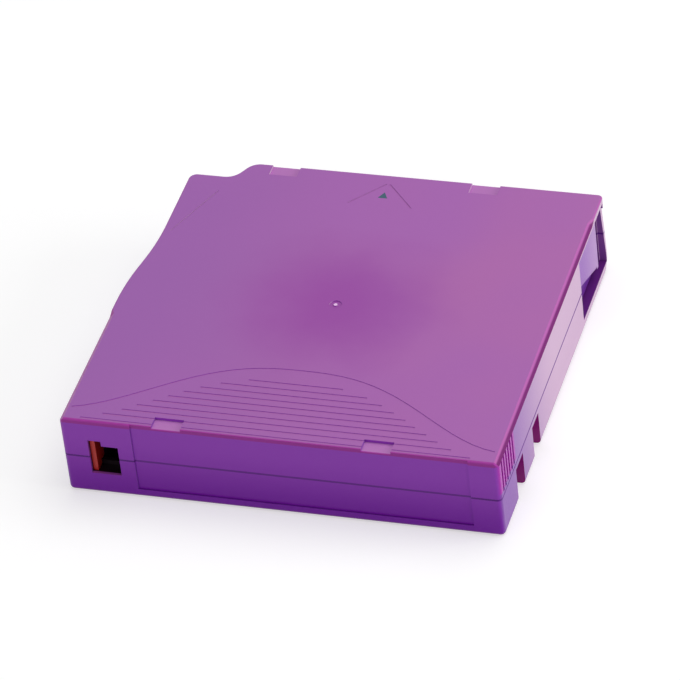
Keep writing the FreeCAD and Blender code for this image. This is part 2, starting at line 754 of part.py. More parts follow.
def bell(x):
    """Height of the bell-shaped grip line on the roof, at a place across."""
    reach = min(abs(x + s.bell_middle.value) / s.bell_spread.value, 1.0)
    rise = (1 + math.cos(math.pi * reach**s.bell_power.value)) / 2
    return s.bell_tail.value - half_d.value + s.bell_height.value * rise


def bell_beside(x, gap):
    """Point at a distance from the grip line, square to it; positive is outside."""
    step = 0.01
    slope = (bell(x + step) - bell(x - step)) / (2 * step)
    length = math.hypot(slope, 1)
    return x - gap * slope / length, bell(x) + gap / length


def bell_spots(gap, end):
    """Points along a line beside the grip line, from left to right."""
    runs = int(s.bell_runs.value)
    return [bell_beside(-end + 2 * end * n / runs, gap) for n in range(runs + 1)]


def grip_reach(y, side):
    """How far a grip line at this depth runs to one side before it meets the bell."""
    reach = [side * half_w.value * n / GRIP_TRIES for n in range(1, GRIP_TRIES)]
    spots = [bell_beside(x, -s.grip_margin.value) for x in reach]
    inside = [x for x, height in spots if height > y]
    return max(inside, key=abs) if inside else None


def stroke(sketch, x0, y0, x1, y1, width):
    """Add a straight line of some width between two places."""
    length = math.hypot(x1 - x0, y1 - y0)
    across = width / 2 * (y1 - y0) / length, width / 2 * (x0 - x1) / length
    trace(sketch, [(x0 + across[0], y0 + across[1]), (x1 + across[0], y1 + across[1]),
                   (x1 - across[0], y1 - across[1]), (x0 - across[0], y0 - across[1])])


def engrave_top(body):
    """Engrave the grip line, the lines under it, the arrow, the crease and the gate mark."""
    sketch = new_sketch(body, offset=top)
    half_line = s.line_width.value / 2
    end = inner_x.value
    trace(sketch, bell_spots(half_line, end) + bell_spots(-half_line, end)[::-1])
    arrow = [(-s.arrow_half, -s.arrow_rise), (ZERO, ZERO), (s.arrow_half, -s.arrow_rise)]
    tip_y = half_d.value - s.arrow_tip.value
    for (x0, y0), (x1, y1) in zip(arrow, arrow[1:]):
        gap = math.copysign(s.line_width.value, x0.value + x1.value)
        stroke(sketch, x0.value + gap, tip_y + y0.value, x1.value + gap, tip_y + y1.value,
               s.line_width.value)
    stroke(sketch, *crease_ends(), s.crease_width.value)
    pocket(body, sketch, s.line_depth)
    lines = new_sketch(body, offset=top)
    for step in range(int(s.grip_count.value)):
        y = s.grip_first.value - half_d.value + s.grip_pitch.value * step
        ends = grip_reach(y, -1), grip_reach(y, 1)
        if None not in ends:
            stroke(lines, ends[0], y, ends[1], y, s.grip_line_width.value)
    pocket(body, lines, s.line_depth)
    gate = new_sketch(body, offset=top)
    ring(gate, 0, 0, s.gate_radius)
    ring(gate, 0, 0, s.gate_pip)
    pocket(body, gate, s.gate_depth)


def crease_ends():
    """Ends of the faint line that crosses the stepped corner of the roof."""
    side = s.step_side_set.value - half_w.value
    front = half_d.value - s.step_front_set.value
    rear_end = side + s.crease_side.value, front - s.crease_length.value
    front_end = side + s.crease_front.value, front - s.crease_gap.value
    return rear_end + front_end


# ---------------------------------------------------------------- the tape door


def make_access_door():
    """Build the door: a panel with a set-in foot, and a knuckle round its pin."""
    body = new_body("access_door")
    nose_y = half_d - s.door_nose
    start_y = half_d - s.door_start + s.door_gap
    drop = s.door_scoop_rear - s.door_scoop_front
    section = new_sketch(body, "XZ_Plane", -start_y)
    loop(section, door_section(door_z, door_top_z + drop))
    panel = pad(body, section, nose_y - start_y)
    panel.UseCustomVector = True
    panel.Direction = V(0, float(nose_y - start_y), -float(drop))
    panel.AlongSketchNormal = True
    for level in (door_z - drop, door_top_z):
        trim = new_sketch(body, offset=level)
        box(trim, door_x - s.door_scoop_set - s.door_wall, start_y, door_x, nose_y)
        pocket(body, trim, drop, 1)
    round_off(body, "Fillet", s.door_scoop_radius, slopes_forward)
    add_door_cheeks(body, nose_y)
    knuckle = new_sketch(body, offset=door_z)
    ring(knuckle, pivot_x, pivot_y, s.knuckle_radius)
    pad(body, knuckle, door_top_z - door_z)
    slot_z = (door_z + door_top_z - s.spring_slot) / 2
    slot = new_sketch(body, offset=slot_z)
    room = s.knuckle_radius + s.door_gap
    box(slot, pivot_x - room, nose_y - s.door_wall - room, door_x - s.door_wall, pivot_y + room)
    pocket(body, slot, s.spring_slot, 1)
    bore = new_sketch(body, offset=door_z)
    ring(bore, pivot_x, pivot_y, s.door_pin_radius + s.fit_clearance)
    pocket(body, bore, door_top_z - door_z, 1)
    return body


def door_section(low, high):
    """List the corners of the door panel's section at its rear end."""
    foot_x = door_x - s.door_scoop_set
    turn_z = s.door_scoop_rear
    foot_z = turn_z - s.door_scoop_rise
    lift = s.door_gap
    outer = [(door_x, high), (door_x, turn_z), (foot_x, foot_z), (foot_x, low)]
    inner = [(foot_x, low), (foot_x, foot_z + lift), (door_x, turn_z + lift), (door_x, high)]
    return outer + [(x - s.door_wall, z) for x, z in inner]


def slopes_forward(edge):
    """Tell an edge that runs along the depth and changes height on the way."""
    start, end = edge.Vertexes[0].Point, edge.Vertexes[-1].Point
    return abs(start.y - end.y) > 1 and abs(start.z - end.z) > 1 and abs(start.x - end.x) < 0.001


def add_door_cheeks(body, nose_y):
    """Join the panel's front end to the knuckle, set in below the turn."""
    back_y = nose_y - s.door_wall
    radius = s.knuckle_radius - s.door_gap / 2
    split_z = s.door_scoop_front
    knuckle_side = [(pivot_x + radius, pivot_y), (pivot_x - radius, pivot_y)]
    for x, low, high in ((door_x - s.door_scoop_set, door_z, split_z), (door_x, split_z, door_top_z)):
        cheek = new_sketch(body, offset=low)
        loop(cheek, [(x - s.door_wall, back_y), (x, back_y), (x, nose_y)] + knuckle_side)
        pad(body, cheek, high - low)
    round_off(body, "Fillet", s.door_nose_radius, upright_at(door_x, nose_y))


def make_door_pin():
    """Build the door's steel pin."""
    pin = doc.addObject("Part::Cylinder", "door_pin")
    pin.Label = "door_pin"
    bind(pin, "Radius", s.door_pin_radius)
    bind(pin, "Height", roof_z - sill_z + s.pin_socket * 2)
    bind(pin, "Placement.Base.x", pivot_x)
    bind(pin, "Placement.Base.y", pivot_y)
    bind(pin, "Placement.Base.z", sill_z - s.pin_socket)
    return pin


def coil(radius, wire, height, turns, leg=0.0):
    """Sweep a round wire up a helix, with straight legs that run on from its ends."""
    helix = Part.makeHelix(height / turns, height, radius)
    path = [helix.Edges[0]] if len(helix.Edges) == 1 else helix.Edges
    start = V(radius, 0, 0)
    if leg:
        along = V(0, leg, leg * height / turns / (2 * math.pi * radius))
        angle = math.degrees(2 * math.pi * turns)
        onward = FreeCAD.Rotation(V(0, 0, 1), angle).multVec(along)
        corner = FreeCAD.Rotation(V(0, 0, 1), angle).multVec(start) + V(0, 0, height)
        path = [Part.makeLine(start - along, start)] + path + [Part.makeLine(corner, corner + onward)]
        start = start - along
    section = Part.Wire([Part.makeCircle(wire, start, V(0, 1, 0))])
    return Part.Wire(path).makePipeShell([section], True, True)


def make_door_spring():
    """Build the door's wound spring: a leg on the door, a coil and a leg on the shell."""
    wire = s.door_spring_wire.value / 2
    radius = door_spring_radius().value
    turns = s.door_spring_turns.value + 0.25
    leg = s.door_spring_leg.value
    room = s.spring_slot.value / 2 - s.door_gap.value - wire
    reach = room / (1 + leg / (math.pi * turns * radius))
    wound = coil(radius, wire, reach * 2, turns, leg).mirror(V(0, 0, reach), V(0, 0, 1))
    spring = doc.addObject("Part::Feature", "door_spring")
    spring.Label = "door_spring"
    spring.Shape = wound
    low = float(door_z + door_top_z) / 2 - reach
    spring.Placement = FreeCAD.Placement(V(pivot_x.value, pivot_y.value, low), FreeCAD.Rotation())
    return spring


def door_spring_radius():
    """Radius of the door spring's coil, so that its leg lies along the door."""
    return door_x - s.door_wall - pivot_x - s.door_spring_wire / 2 - s.fit_clearance


# ---------------------------------------------------------------- leader pin and tape


def make_leader_pin():
    """Turn the leader pin: two end flanges, two necks and the body between."""
    body = new_body("leader_pin", leader_x, leader_y)
    low = floor_z + s.leader_end_gap
    high = roof_z - s.leader_end_gap
    profile = new_sketch(body, "XZ_Plane")
    lower = [(ZERO, low), (s.leader_head_radius, low),
             (s.leader_head_radius, low + s.leader_head_length),
             (s.leader_neck_radius, low + s.leader_head_length),
             (s.leader_neck_radius, low + s.leader_head_length + s.leader_neck_length),
             (s.leader_body_radius, low + s.leader_head_length + s.leader_neck_length)]
    upper = [(x, low + high - z) for x, z in lower[::-1]]
    loop(profile, lower + upper)
    turn = body.newObject("PartDesign::Revolution", "leader_pin_turn")
    turn.Profile = profile
    turn.ReferenceAxis = (profile, ["V_Axis"])
    turn.Angle = 360
    return body


def make_tape_clip():
    """Build the open clip that holds the tape's end on the leader pin."""
    body = new_body("leader_tape_clip", leader_x, leader_y)
    outer = s.leader_body_radius + s.fit_clearance + s.clip_wall
    tube = new_sketch(body, offset=tape_z)
    ring(tube, 0, 0, outer)
    ring(tube, 0, 0, s.leader_body_radius + s.fit_clearance)
    pad(body, tube, s.tape_width)
    mouth = new_sketch(body, offset=tape_z)
    box(mouth, 0, -s.clip_mouth / 2, outer + s.fit_clearance, s.clip_mouth / 2)
    pocket(body, mouth, s.tape_width, 1)
    return body


def make_leader_spring():
    """Build the sheet spring: a back strip, and arms that hug both pin flanges."""
    body = new_body("leader_pin_spring", leader_x, leader_y)
    low = floor_z + s.leader_end_gap
    high = roof_z - s.leader_end_gap
    back_x = leaf_x - leader_x
    side = s.leader_head_radius + s.fit_clearance
    strip = new_sketch(body, offset=low)
    box(strip, back_x, -side - s.leaf_thickness, back_x + s.leaf_thickness, side + s.leaf_thickness)
    pad(body, strip, high - low)
    for start in (low, high - s.leaf_band):
        arms = new_sketch(body, offset=start)
        box(arms, back_x, side, s.leaf_reach, side + s.leaf_thickness)
        box(arms, back_x, -side - s.leaf_thickness, s.leaf_reach, -side)
        pad(body, arms, s.leaf_band)
    return body


def make_tape_lead():
    """Stretch the tape's free end from the wound tape to the clip, edge to edge."""
    radius = pack_radius().value + s.slide_clearance.value
    reach = math.hypot(leader_x.value, leader_y.value)
    bearing = math.atan2(leader_y.value, leader_x.value) - math.acos(radius / reach)
    length = math.sqrt(reach**2 - radius**2)
    clip = float(s.leader_body_radius + s.fit_clearance + s.clip_wall + s.fit_clearance)
    film = doc.addObject("Part::Box", "tape_lead")
    film.Label = "tape_lead"
    film.Length = length - clip
    bind(film, "Width", s.film_thickness)
    bind(film, "Height", s.tape_width)
    spot = V(radius * math.cos(bearing), radius * math.sin(bearing), tape_z.value)
    turn = FreeCAD.Rotation(V(0, 0, 1), math.degrees(bearing) + 90)
    film.Placement = FreeCAD.Placement(spot, turn)
    film.Placement.move(turn.multVec(V(0, -s.film_thickness.value, 0)))
    return film


def pack_radius():
    """Radius of the wound tape."""
    return reel_radius - s.pack_margin


# ---------------------------------------------------------------- the reel


def add_ring(body, outer, inner, low, height):
    """Pad a flat ring about the Z axis."""
    sketch = new_sketch(body, offset=low)
    ring(sketch, 0, 0, outer)
    ring(sketch, 0, 0, inner)
    return pad(body, sketch, height)


def cut_teeth(body, outer, length, face, depth, width, count):
    """Cut V-shaped gaps across a ring of teeth, from its flat face."""
    gap = new_sketch(body, "YZ_Plane", outer + s.fit_clearance)
    loop(gap, [(-width / 2, face), (width / 2, face), (ZERO, face + depth)])
    cut = pocket(body, gap, length + s.fit_clearance * 2)
    copy_round(body, [cut], count)


def make_reel_hub():
    """Build the hub with its lower flange, its web and both rings of teeth."""
    body = new_body("reel_hub")
    bore = s.clutch_inner
    bearing = s.hub_opening + s.bearing_gap
    neck = s.hub_radius - s.hub_wall / 2
    barrel = s.hub_radius - s.hub_wall
    top_z = upper_flange_z + s.flange_thickness
    profile = new_sketch(body, "XZ_Plane")
    loop(profile, [
        (bore, flange_z), (bearing, flange_z), (bearing, foot_z),
        (bearing + s.bearing_width, foot_z), (bearing + s.bearing_width, flange_z),
        (reel_radius, flange_z), (reel_radius, flange_top_z), (s.hub_radius, flange_top_z),
        (s.hub_radius, upper_flange_z), (neck, upper_flange_z), (neck, top_z),
        (barrel, top_z), (barrel, web_top_z), (bore, web_top_z),
    ])
    turn = body.newObject("PartDesign::Revolution", "reel_hub_turn")
    turn.Profile = profile
    turn.ReferenceAxis = (profile, ["V_Axis"])
    turn.Angle = 360
    inner = s.drive_ring_outer - s.drive_ring_width
    low = flange_z - s.drive_ring_height
    add_ring(body, s.drive_ring_outer, inner, low, s.drive_ring_height)
    inner = s.brake_ring_outer - s.brake_ring_width
    add_ring(body, s.brake_ring_outer, inner, web_top_z, s.brake_ring_height)
    legs = new_sketch(body, offset=flange_z)
    ring(legs, s.leg_circle, 0, s.leg_radius + s.leg_gap)
    copy_round(body, [pocket(body, legs, s.web_thickness, 1)], as_size(3))
    cut_teeth(body, s.drive_ring_outer, s.drive_ring_width, low, s.drive_tooth,
              s.drive_tooth_width, s.tooth_count)
    cut_teeth(body, s.brake_ring_outer, s.brake_ring_width, brake_ring_z, -s.brake_tooth,
              s.brake_tooth_width, s.tooth_count)
    return body


def make_upper_flange():
    """Build the loose upper flange that snaps on the hub's neck."""
    body = new_body("reel_upper_flange")
    bore = s.hub_radius - s.hub_wall / 2 + s.fit_clearance
    add_ring(body, reel_radius, bore, upper_flange_z, s.flange_thickness)
    return body


def make_tape_pack():
    """Build the wound tape as one solid ring between the flanges."""
    body = new_body("tape_pack")
    add_ring(body, pack_radius(), s.hub_radius + s.fit_clearance, tape_z, s.tape_width)
    return body


def make_clutch_plate():
    """Build the steel plate that the drive's magnet grips, with its leg holes."""
    body = new_body("clutch_plate")
    low = flange_z - s.clutch_thickness
    add_ring(body, s.clutch_outer, s.clutch_inner, low, s.clutch_thickness)
    legs = new_sketch(body, offset=low)
    ring(legs, s.leg_circle, 0, s.leg_radius + s.leg_gap)
    copy_round(body, [pocket(body, legs, s.clutch_thickness, 1)], as_size(3))
    return body


def make_brake_release():
    """Build the three-armed spider whose legs reach down through the reel."""
    body = new_body("brake_release")
    disc = new_sketch(body, offset=spider_z)
    ring(disc, 0, 0, s.spider_hub)
    pad(body, disc, s.spider_thickness)
    arm = new_sketch(body, offset=spider_z)
    box(arm, 0, -s.spider_arm / 2, s.leg_circle, s.spider_arm / 2)
    ring_end = new_sketch(body, offset=spider_z)
    ring(ring_end, s.leg_circle, 0, s.spider_arm / 2)
    low = flange_z - s.clutch_thickness + s.leg_recess
    leg = new_sketch(body, offset=low)
    ring(leg, s.leg_circle, 0, s.leg_radius)
    pads = [pad(body, arm, s.spider_thickness), pad(body, ring_end, s.spider_thickness)]
    pads.append(pad(body, leg, spider_z - low))
    copy_round(body, pads, as_size(3))
    return body


def make_brake_button():
    """Build the toothed brake: a disc, its ring of ridges, and the sleeve on the post."""
    body = new_body("brake_button")
    disc = new_sketch(body, offset=brake_z)
    ring(disc, 0, 0, s.brake_ring_outer + s.leg_gap)
    pad(body, disc, s.brake_thickness)
    boss = new_sketch(body, offset=spider_top_z + s.fit_clearance)
    ring(boss, 0, 0, s.spider_hub - s.leg_gap)
    pad(body, boss, brake_z - spider_top_z - s.fit_clearance)
    inner = s.brake_ring_outer - s.brake_ring_width
    ridge = new_sketch(body, "YZ_Plane", inner)
    half = (s.brake_tooth_width - s.slide_clearance * 2) / 2
    drop = s.brake_tooth - s.slide_clearance
    loop(ridge, [(-half, brake_z), (half, brake_z), (ZERO, brake_z - drop)])
    copy_round(body, [pad(body, ridge, s.brake_ring_width)], s.tooth_count)
    sleeve = new_sketch(body, offset=brake_top_z)
    ring(sleeve, 0, 0, s.sleeve_radius)
    gap = s.slide_clearance * 2
    loop(sleeve, plus_sign(s.cross_length + gap, s.cross_width + gap))
    pad(body, sleeve, s.sleeve_height)
    return body


def make_brake_spring():
    """Build the coil spring between the brake button and the roof."""
    wire = s.spring_wire.value
    height = float(roof_z - brake_top_z) - wire * 2
    spring = doc.addObject("Part::Feature", "brake_spring")
    spring.Label = "brake_spring"
    spring.Shape = coil(s.spring_radius.value, wire, height, s.spring_turns.value)
    spring.Placement = FreeCAD.Placement(V(0, 0, brake_top_z.value + wire), FreeCAD.Rotation())
    return spring


# ---------------------------------------------------------------- small pieces


def make_slider():
    """Build the write-protect slider: a plate behind the wall, a finger lug and a fin."""
    body = new_body("write_protect_slider")
    low = s.switch_bottom + s.slide_clearance
    plate_top = rail_z - s.slide_clearance
    left = window_x + s.slide_clearance
    right = window_x + s.switch_lug
    face = s.switch_skin + s.slide_clearance - half_d
    front = guide_y + s.slide_clearance
    back = front + s.switch_plate
    fin_low = s.switch_bottom + s.switch_lip + s.slide_clearance
    fin_top = rail_z - s.switch_lip - s.slide_clearance
    for x, y0, y1, z0, z1 in (
        (s.slide_clearance * 2 - inner_x, front, back, low, plate_top),
        (left, face, front, low, plate_top),
        (left, face, guide_y - s.slide_clearance, plate_top, window_top_z - s.slide_clearance),
        (left, back, back + s.switch_fin, fin_low, fin_top),
    ):
        sketch = new_sketch(body, offset=z0)
        box(sketch, x, y0, right, y1)
        pad(body, sketch, z1 - z0)
    return body


def lean_on_slope(item, x, along, above):
    """Stand a box on the gussets' slope, at a distance along and above it."""
    bind(item, "Placement.Base.x", x)
    item.Placement.Rotation = FreeCAD.Rotation(V(1, 0, 0), -45)
    bind(item, "Placement.Base.y", guide_y + (along + above) / SQRT2)
    bind(item, "Placement.Base.z", floor_z + s.gusset_reach - (along - above) / SQRT2)


def make_memory_board():
    """Build the small board that leans in the rear corner of the floor."""
    board = doc.addObject("Part::Box", "memory_board")
    board.Label = "memory_board"
    bind(board, "Length", s.board_length)
    bind(board, "Width", s.board_width)
    bind(board, "Height", s.board_thickness)
    lean_on_slope(board, s.board_start, (s.gusset_reach * SQRT2 - s.board_width) / 2, ZERO)
    return board


def make_memory_chip():
    """Build the memory chip on the board."""
    chip = doc.addObject("Part::Box", "memory_chip")
    chip.Label = "memory_chip"
    bind(chip, "Length", s.chip_length)
    bind(chip, "Width", s.chip_length)
    bind(chip, "Height", s.chip_thickness)
    x = s.board_start + (s.board_length - s.chip_length) / 2
    lean_on_slope(chip, x, (s.gusset_reach * SQRT2 - s.chip_length) / 2, s.board_thickness)
    return chip


def make_case_screws():
    """Build the four case screws, which go in from below."""
    screws = []
    for number, (x, y) in enumerate(SCREWS, start=1):
        head = doc.addObject("Part::Cylinder", f"screw_head_{number}")
        shank = doc.addObject("Part::Cylinder", f"screw_shank_{number}")
        key = doc.addObject("Part::Prism", f"screw_key_{number}")
        bind(head, "Radius", s.screw_head_radius)
        bind(head, "Height", s.screw_head_height)
        bind(shank, "Radius", s.screw_radius)
        bind(shank, "Height", s.screw_length)
        key.Polygon = 6
        bind(key, "Circumradius", s.screw_key)
        bind(key, "Height", s.screw_head_height / 2)
        for item, z in ((head, s.screw_recess - s.screw_head_height), (shank, s.screw_recess),
                        (key, s.screw_recess - s.screw_head_height)):
            bind(item, "Placement.Base.x", x)
            bind(item, "Placement.Base.y", y)
            bind(item, "Placement.Base.z", z)
        whole = doc.addObject("Part::Fuse", f"screw_whole_{number}")
        whole.Base = head
        whole.Tool = shank
        screw = doc.addObject("Part::Cut", f"screw_{number}")
        screw.Base = whole
        screw.Tool = key
        screws.append(screw)
    group = doc.addObject("Part::Compound", "case_screws")
    group.Label = "case_screws"
    group.Links = screws
    return group


MAKERS = [
    make_lower_shell, make_upper_shell, make_access_door, make_door_pin, make_door_spring,
    make_leader_pin, make_tape_clip, make_leader_spring, make_tape_lead, make_reel_hub,
    make_upper_flange, make_tape_pack, make_clutch_plate, make_brake_release,
    make_brake_button, make_brake_spring, make_slider, make_memory_board, make_memory_chip,
    make_case_screws,
]


def check(parts):
    """Stop if any object failed, or any sub-part is empty or not valid."""
    for item in doc.Objects:
        if {"Invalid", "Error"} & set(item.State):
            raise ValueError(f"{item.Label} failed: {item.State}")
    for item in parts:
        if item.Shape.isNull() or not item.Shape.isValid():
            raise ValueError(f"{item.Label} has no valid shape")


def main():
    """Build every sub-part, check them all and write one STEP file for each."""
    parts = [make() for make in MAKERS]
    doc.recompute()
    check(parts)
    os.makedirs("parts", exist_ok=True)
    for item in parts:
        item.Shape.exportStep(f"parts/{item.Label}.step")
        print(f"{item.Label}: {item.Shape.Volume / 1000:.2f} cm3, {len(item.Shape.Solids)} solid")


main()
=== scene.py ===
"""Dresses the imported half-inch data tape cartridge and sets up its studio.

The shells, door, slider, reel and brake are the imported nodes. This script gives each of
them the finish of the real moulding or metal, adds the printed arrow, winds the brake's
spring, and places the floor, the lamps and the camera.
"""

import logging
import math
from dataclasses import dataclass, field
from enum import Enum

import bmesh
import bpy
from mathutils import Matrix, Vector


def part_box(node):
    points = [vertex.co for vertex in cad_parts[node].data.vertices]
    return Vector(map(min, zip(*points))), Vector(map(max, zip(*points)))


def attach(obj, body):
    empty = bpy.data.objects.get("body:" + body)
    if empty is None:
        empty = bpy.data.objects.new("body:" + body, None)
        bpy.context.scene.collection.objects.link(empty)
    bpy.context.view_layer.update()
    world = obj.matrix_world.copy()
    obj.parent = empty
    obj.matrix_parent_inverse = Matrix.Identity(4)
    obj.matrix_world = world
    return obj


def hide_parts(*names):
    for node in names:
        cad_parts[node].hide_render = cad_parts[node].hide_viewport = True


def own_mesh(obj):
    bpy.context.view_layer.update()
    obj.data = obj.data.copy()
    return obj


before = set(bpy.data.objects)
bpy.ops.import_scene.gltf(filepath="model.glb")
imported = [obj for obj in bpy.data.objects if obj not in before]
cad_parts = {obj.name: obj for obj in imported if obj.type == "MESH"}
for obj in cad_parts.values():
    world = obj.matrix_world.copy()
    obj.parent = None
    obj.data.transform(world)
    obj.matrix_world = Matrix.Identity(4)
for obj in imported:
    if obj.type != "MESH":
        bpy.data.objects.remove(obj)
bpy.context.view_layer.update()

LOG = logging.getLogger("cartridge")
MM = 0.001


class Body(Enum):
    """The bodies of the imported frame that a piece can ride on."""

    CASE = "case"
    DOOR = "door"
    SLIDER = "slider"
    REEL = "reel"
    BRAKE = "brake"
    RELEASE = "release"


class Mix(Enum):
    """Numbers of the colour sockets of Blender's Mix node."""

    FACTOR = 0
    FIRST = 6
    SECOND = 7
    RESULT = 2


def linear(hex_colour: str) -> tuple[float, float, float, float]:
    """Turns an sRGB hex value to the linear colour that a shader takes.

    Args:
        hex_colour: the colour as "#RRGGBB".

    Returns:
        Red, green, blue and an alpha of 1.
    """
    shares = [int(hex_colour[at : at + 2], 16) / 255 for at in (1, 3, 5)]
    toe, scale, lift, power = 0.04045, 12.92, 0.055, 2.4
    curved = [c / scale if c <= toe else ((c + lift) / (1 + lift)) ** power for c in shares]
    return (*curved, 1.0)


def add_node(
    tree: bpy.types.NodeTree, kind: str, inputs: dict | None = None, **settings: object
) -> bpy.types.Node:
    """Adds one shader node with its settings and links.

    Args:
        tree: the material's or world's node tree.
        kind: the node's type without "ShaderNode", such as "Math".
        inputs: for each input, by name or number, its value or the socket it is linked to.
        **settings: the node's own properties.

    Returns:
        The new node.
    """
    made = tree.nodes.new("ShaderNode" + kind)
    for key, value in settings.items():
        setattr(made, key, value)
    for key, value in (inputs or {}).items():
        socket = made.inputs[key.value if isinstance(key, Enum) else key]
        if isinstance(value, bpy.types.NodeSocket):
            tree.links.new(value, socket)
        else:
            socket.default_value = value
    return made


def blend_colours(
    tree: bpy.types.NodeTree, factor: object, first: object, second: object
) -> bpy.types.NodeSocket:
    """Mixes two colours.

    Args:
        tree: the material's node tree.
        factor: share of the second colour, a number or a socket.
        first: the colour at 0, a hex value or a socket.
        second: the colour at 1, a hex value or a socket.

    Returns:
        The socket of the mixed colour.
    """
    ends = [linear(end) if isinstance(end, str) else end for end in (first, second)]
    inputs = {Mix.FACTOR: factor, Mix.FIRST: ends[0], Mix.SECOND: ends[1]}
    return add_node(tree, "Mix", inputs, data_type="RGBA").outputs[Mix.RESULT.value]


def fade(
    tree: bpy.types.NodeTree, value: bpy.types.NodeSocket, low: float, high: float, **ends: float
) -> bpy.types.NodeSocket:
    """Turns a value into a smooth step.

    Args:
        tree: the material's node tree.
        value: the socket that is read.
        low: the value where the step starts.
        high: the value where it is done.
        **ends: "start" and "finish", what the step goes from and to, 0 and 1 if left out.

    Returns:
        The socket of the step.
    """
    inputs = {
        "Value": value,
        "From Min": low,
        "From Max": high,
        "To Min": ends.get("start", 0.0),
        "To Max": ends.get("finish", 1.0),
    }
    step = add_node(tree, "MapRange", inputs, interpolation_type="SMOOTHSTEP")
    return step.outputs["Result"]


def combine(
    tree: bpy.types.NodeTree, operation: str, first: object, second: object = 0.0
) -> bpy.types.NodeSocket:
    """Works out one value from one or two others.

    Args:
        tree: the material's node tree.
        operation: the Math node's operation, such as "MULTIPLY".
        first: a number or a socket.
        second: a number or a socket.

    Returns:
        The socket of the result.
    """
    return add_node(tree, "Math", {0: first, 1: second}, operation=operation).outputs[0]


@dataclass(frozen=True)
class Finish:
    """What every finish has: its colour, how it shines and how fine its surface is."""

    name: str
    colour: str
    roughness: float
    ior: float = 1.5
    specular: float = 0.5
    metallic: float = 0.0
    grain_mm: float = 0.5
    relief_mm: float = 0.004

    def material(self) -> bpy.types.Material:
        """Builds the material, or returns it if it is there already.

        Returns:
            The material, ready for a material slot.
        """
        found = bpy.data.materials.get(self.name)
        if found:
            return found
        made = bpy.data.materials.new(self.name)
        made.use_nodes = True
        made.diffuse_color = linear(self.colour)
        tree = made.node_tree
        tree.nodes.clear()
        shader = add_node(tree, "BsdfPrincipled", {"Metallic": self.metallic})
        shader.inputs["Roughness"].default_value = self.roughness
        if not self.metallic:
            shader.inputs["IOR"].default_value = self.ior
            shader.inputs["Specular IOR Level"].default_value = self.specular
        shader.inputs["Base Color"].default_value = linear(self.colour)
        self.dress(tree, shader)
        add_node(tree, "OutputMaterial", {"Surface": shader.outputs[0]})
        return made

    def dress(self, tree: bpy.types.NodeTree, shader: bpy.types.Node) -> None:
        """Adds colour variation and relief to the plain shader; each finish has its own.

        Args:
            tree: the material's node tree.
            shader: its Principled BSDF.
        """
        self.add_relief(tree, shader, self.noise(tree, self.grain_mm))

    def noise(
        self, tree: bpy.types.NodeTree, size_mm: float, detail: float = 2.0
    ) -> bpy.types.NodeSocket:
        """Returns an even noise on the piece's own coordinates.

        Args:
            tree: the material's node tree.
            size_mm: size of its spots.
            detail: how many finer layers it has.

        Returns:
            The socket of its value, about 0.5 in the middle.
        """
        place = add_node(tree, "TexCoord").outputs["Object"]
        inputs = {"Vector": place, "Scale": 1 / (size_mm * MM), "Detail": detail}
        return add_node(tree, "TexNoise", inputs).outputs["Fac"]

    def add_relief(
        self, tree: bpy.types.NodeTree, shader: bpy.types.Node, height: bpy.types.NodeSocket
    ) -> None:
        """Gives the shader a relief.

        Args:
            tree: the material's node tree.
            shader: its Principled BSDF.
            height: the relief as a value from 0 to 1.
        """
        inputs = {"Height": height, "Distance": self.relief_mm * MM, "Strength": 1.0}
        bump = add_node(tree, "Bump", inputs)
        tree.links.new(bump.outputs["Normal"], shader.inputs["Normal"])


@dataclass(frozen=True)
class Room:
    """A box inside the part: its lowest and highest corner in millimetres."""

    low: tuple[float, float, float]
    high: tuple[float, float, float]


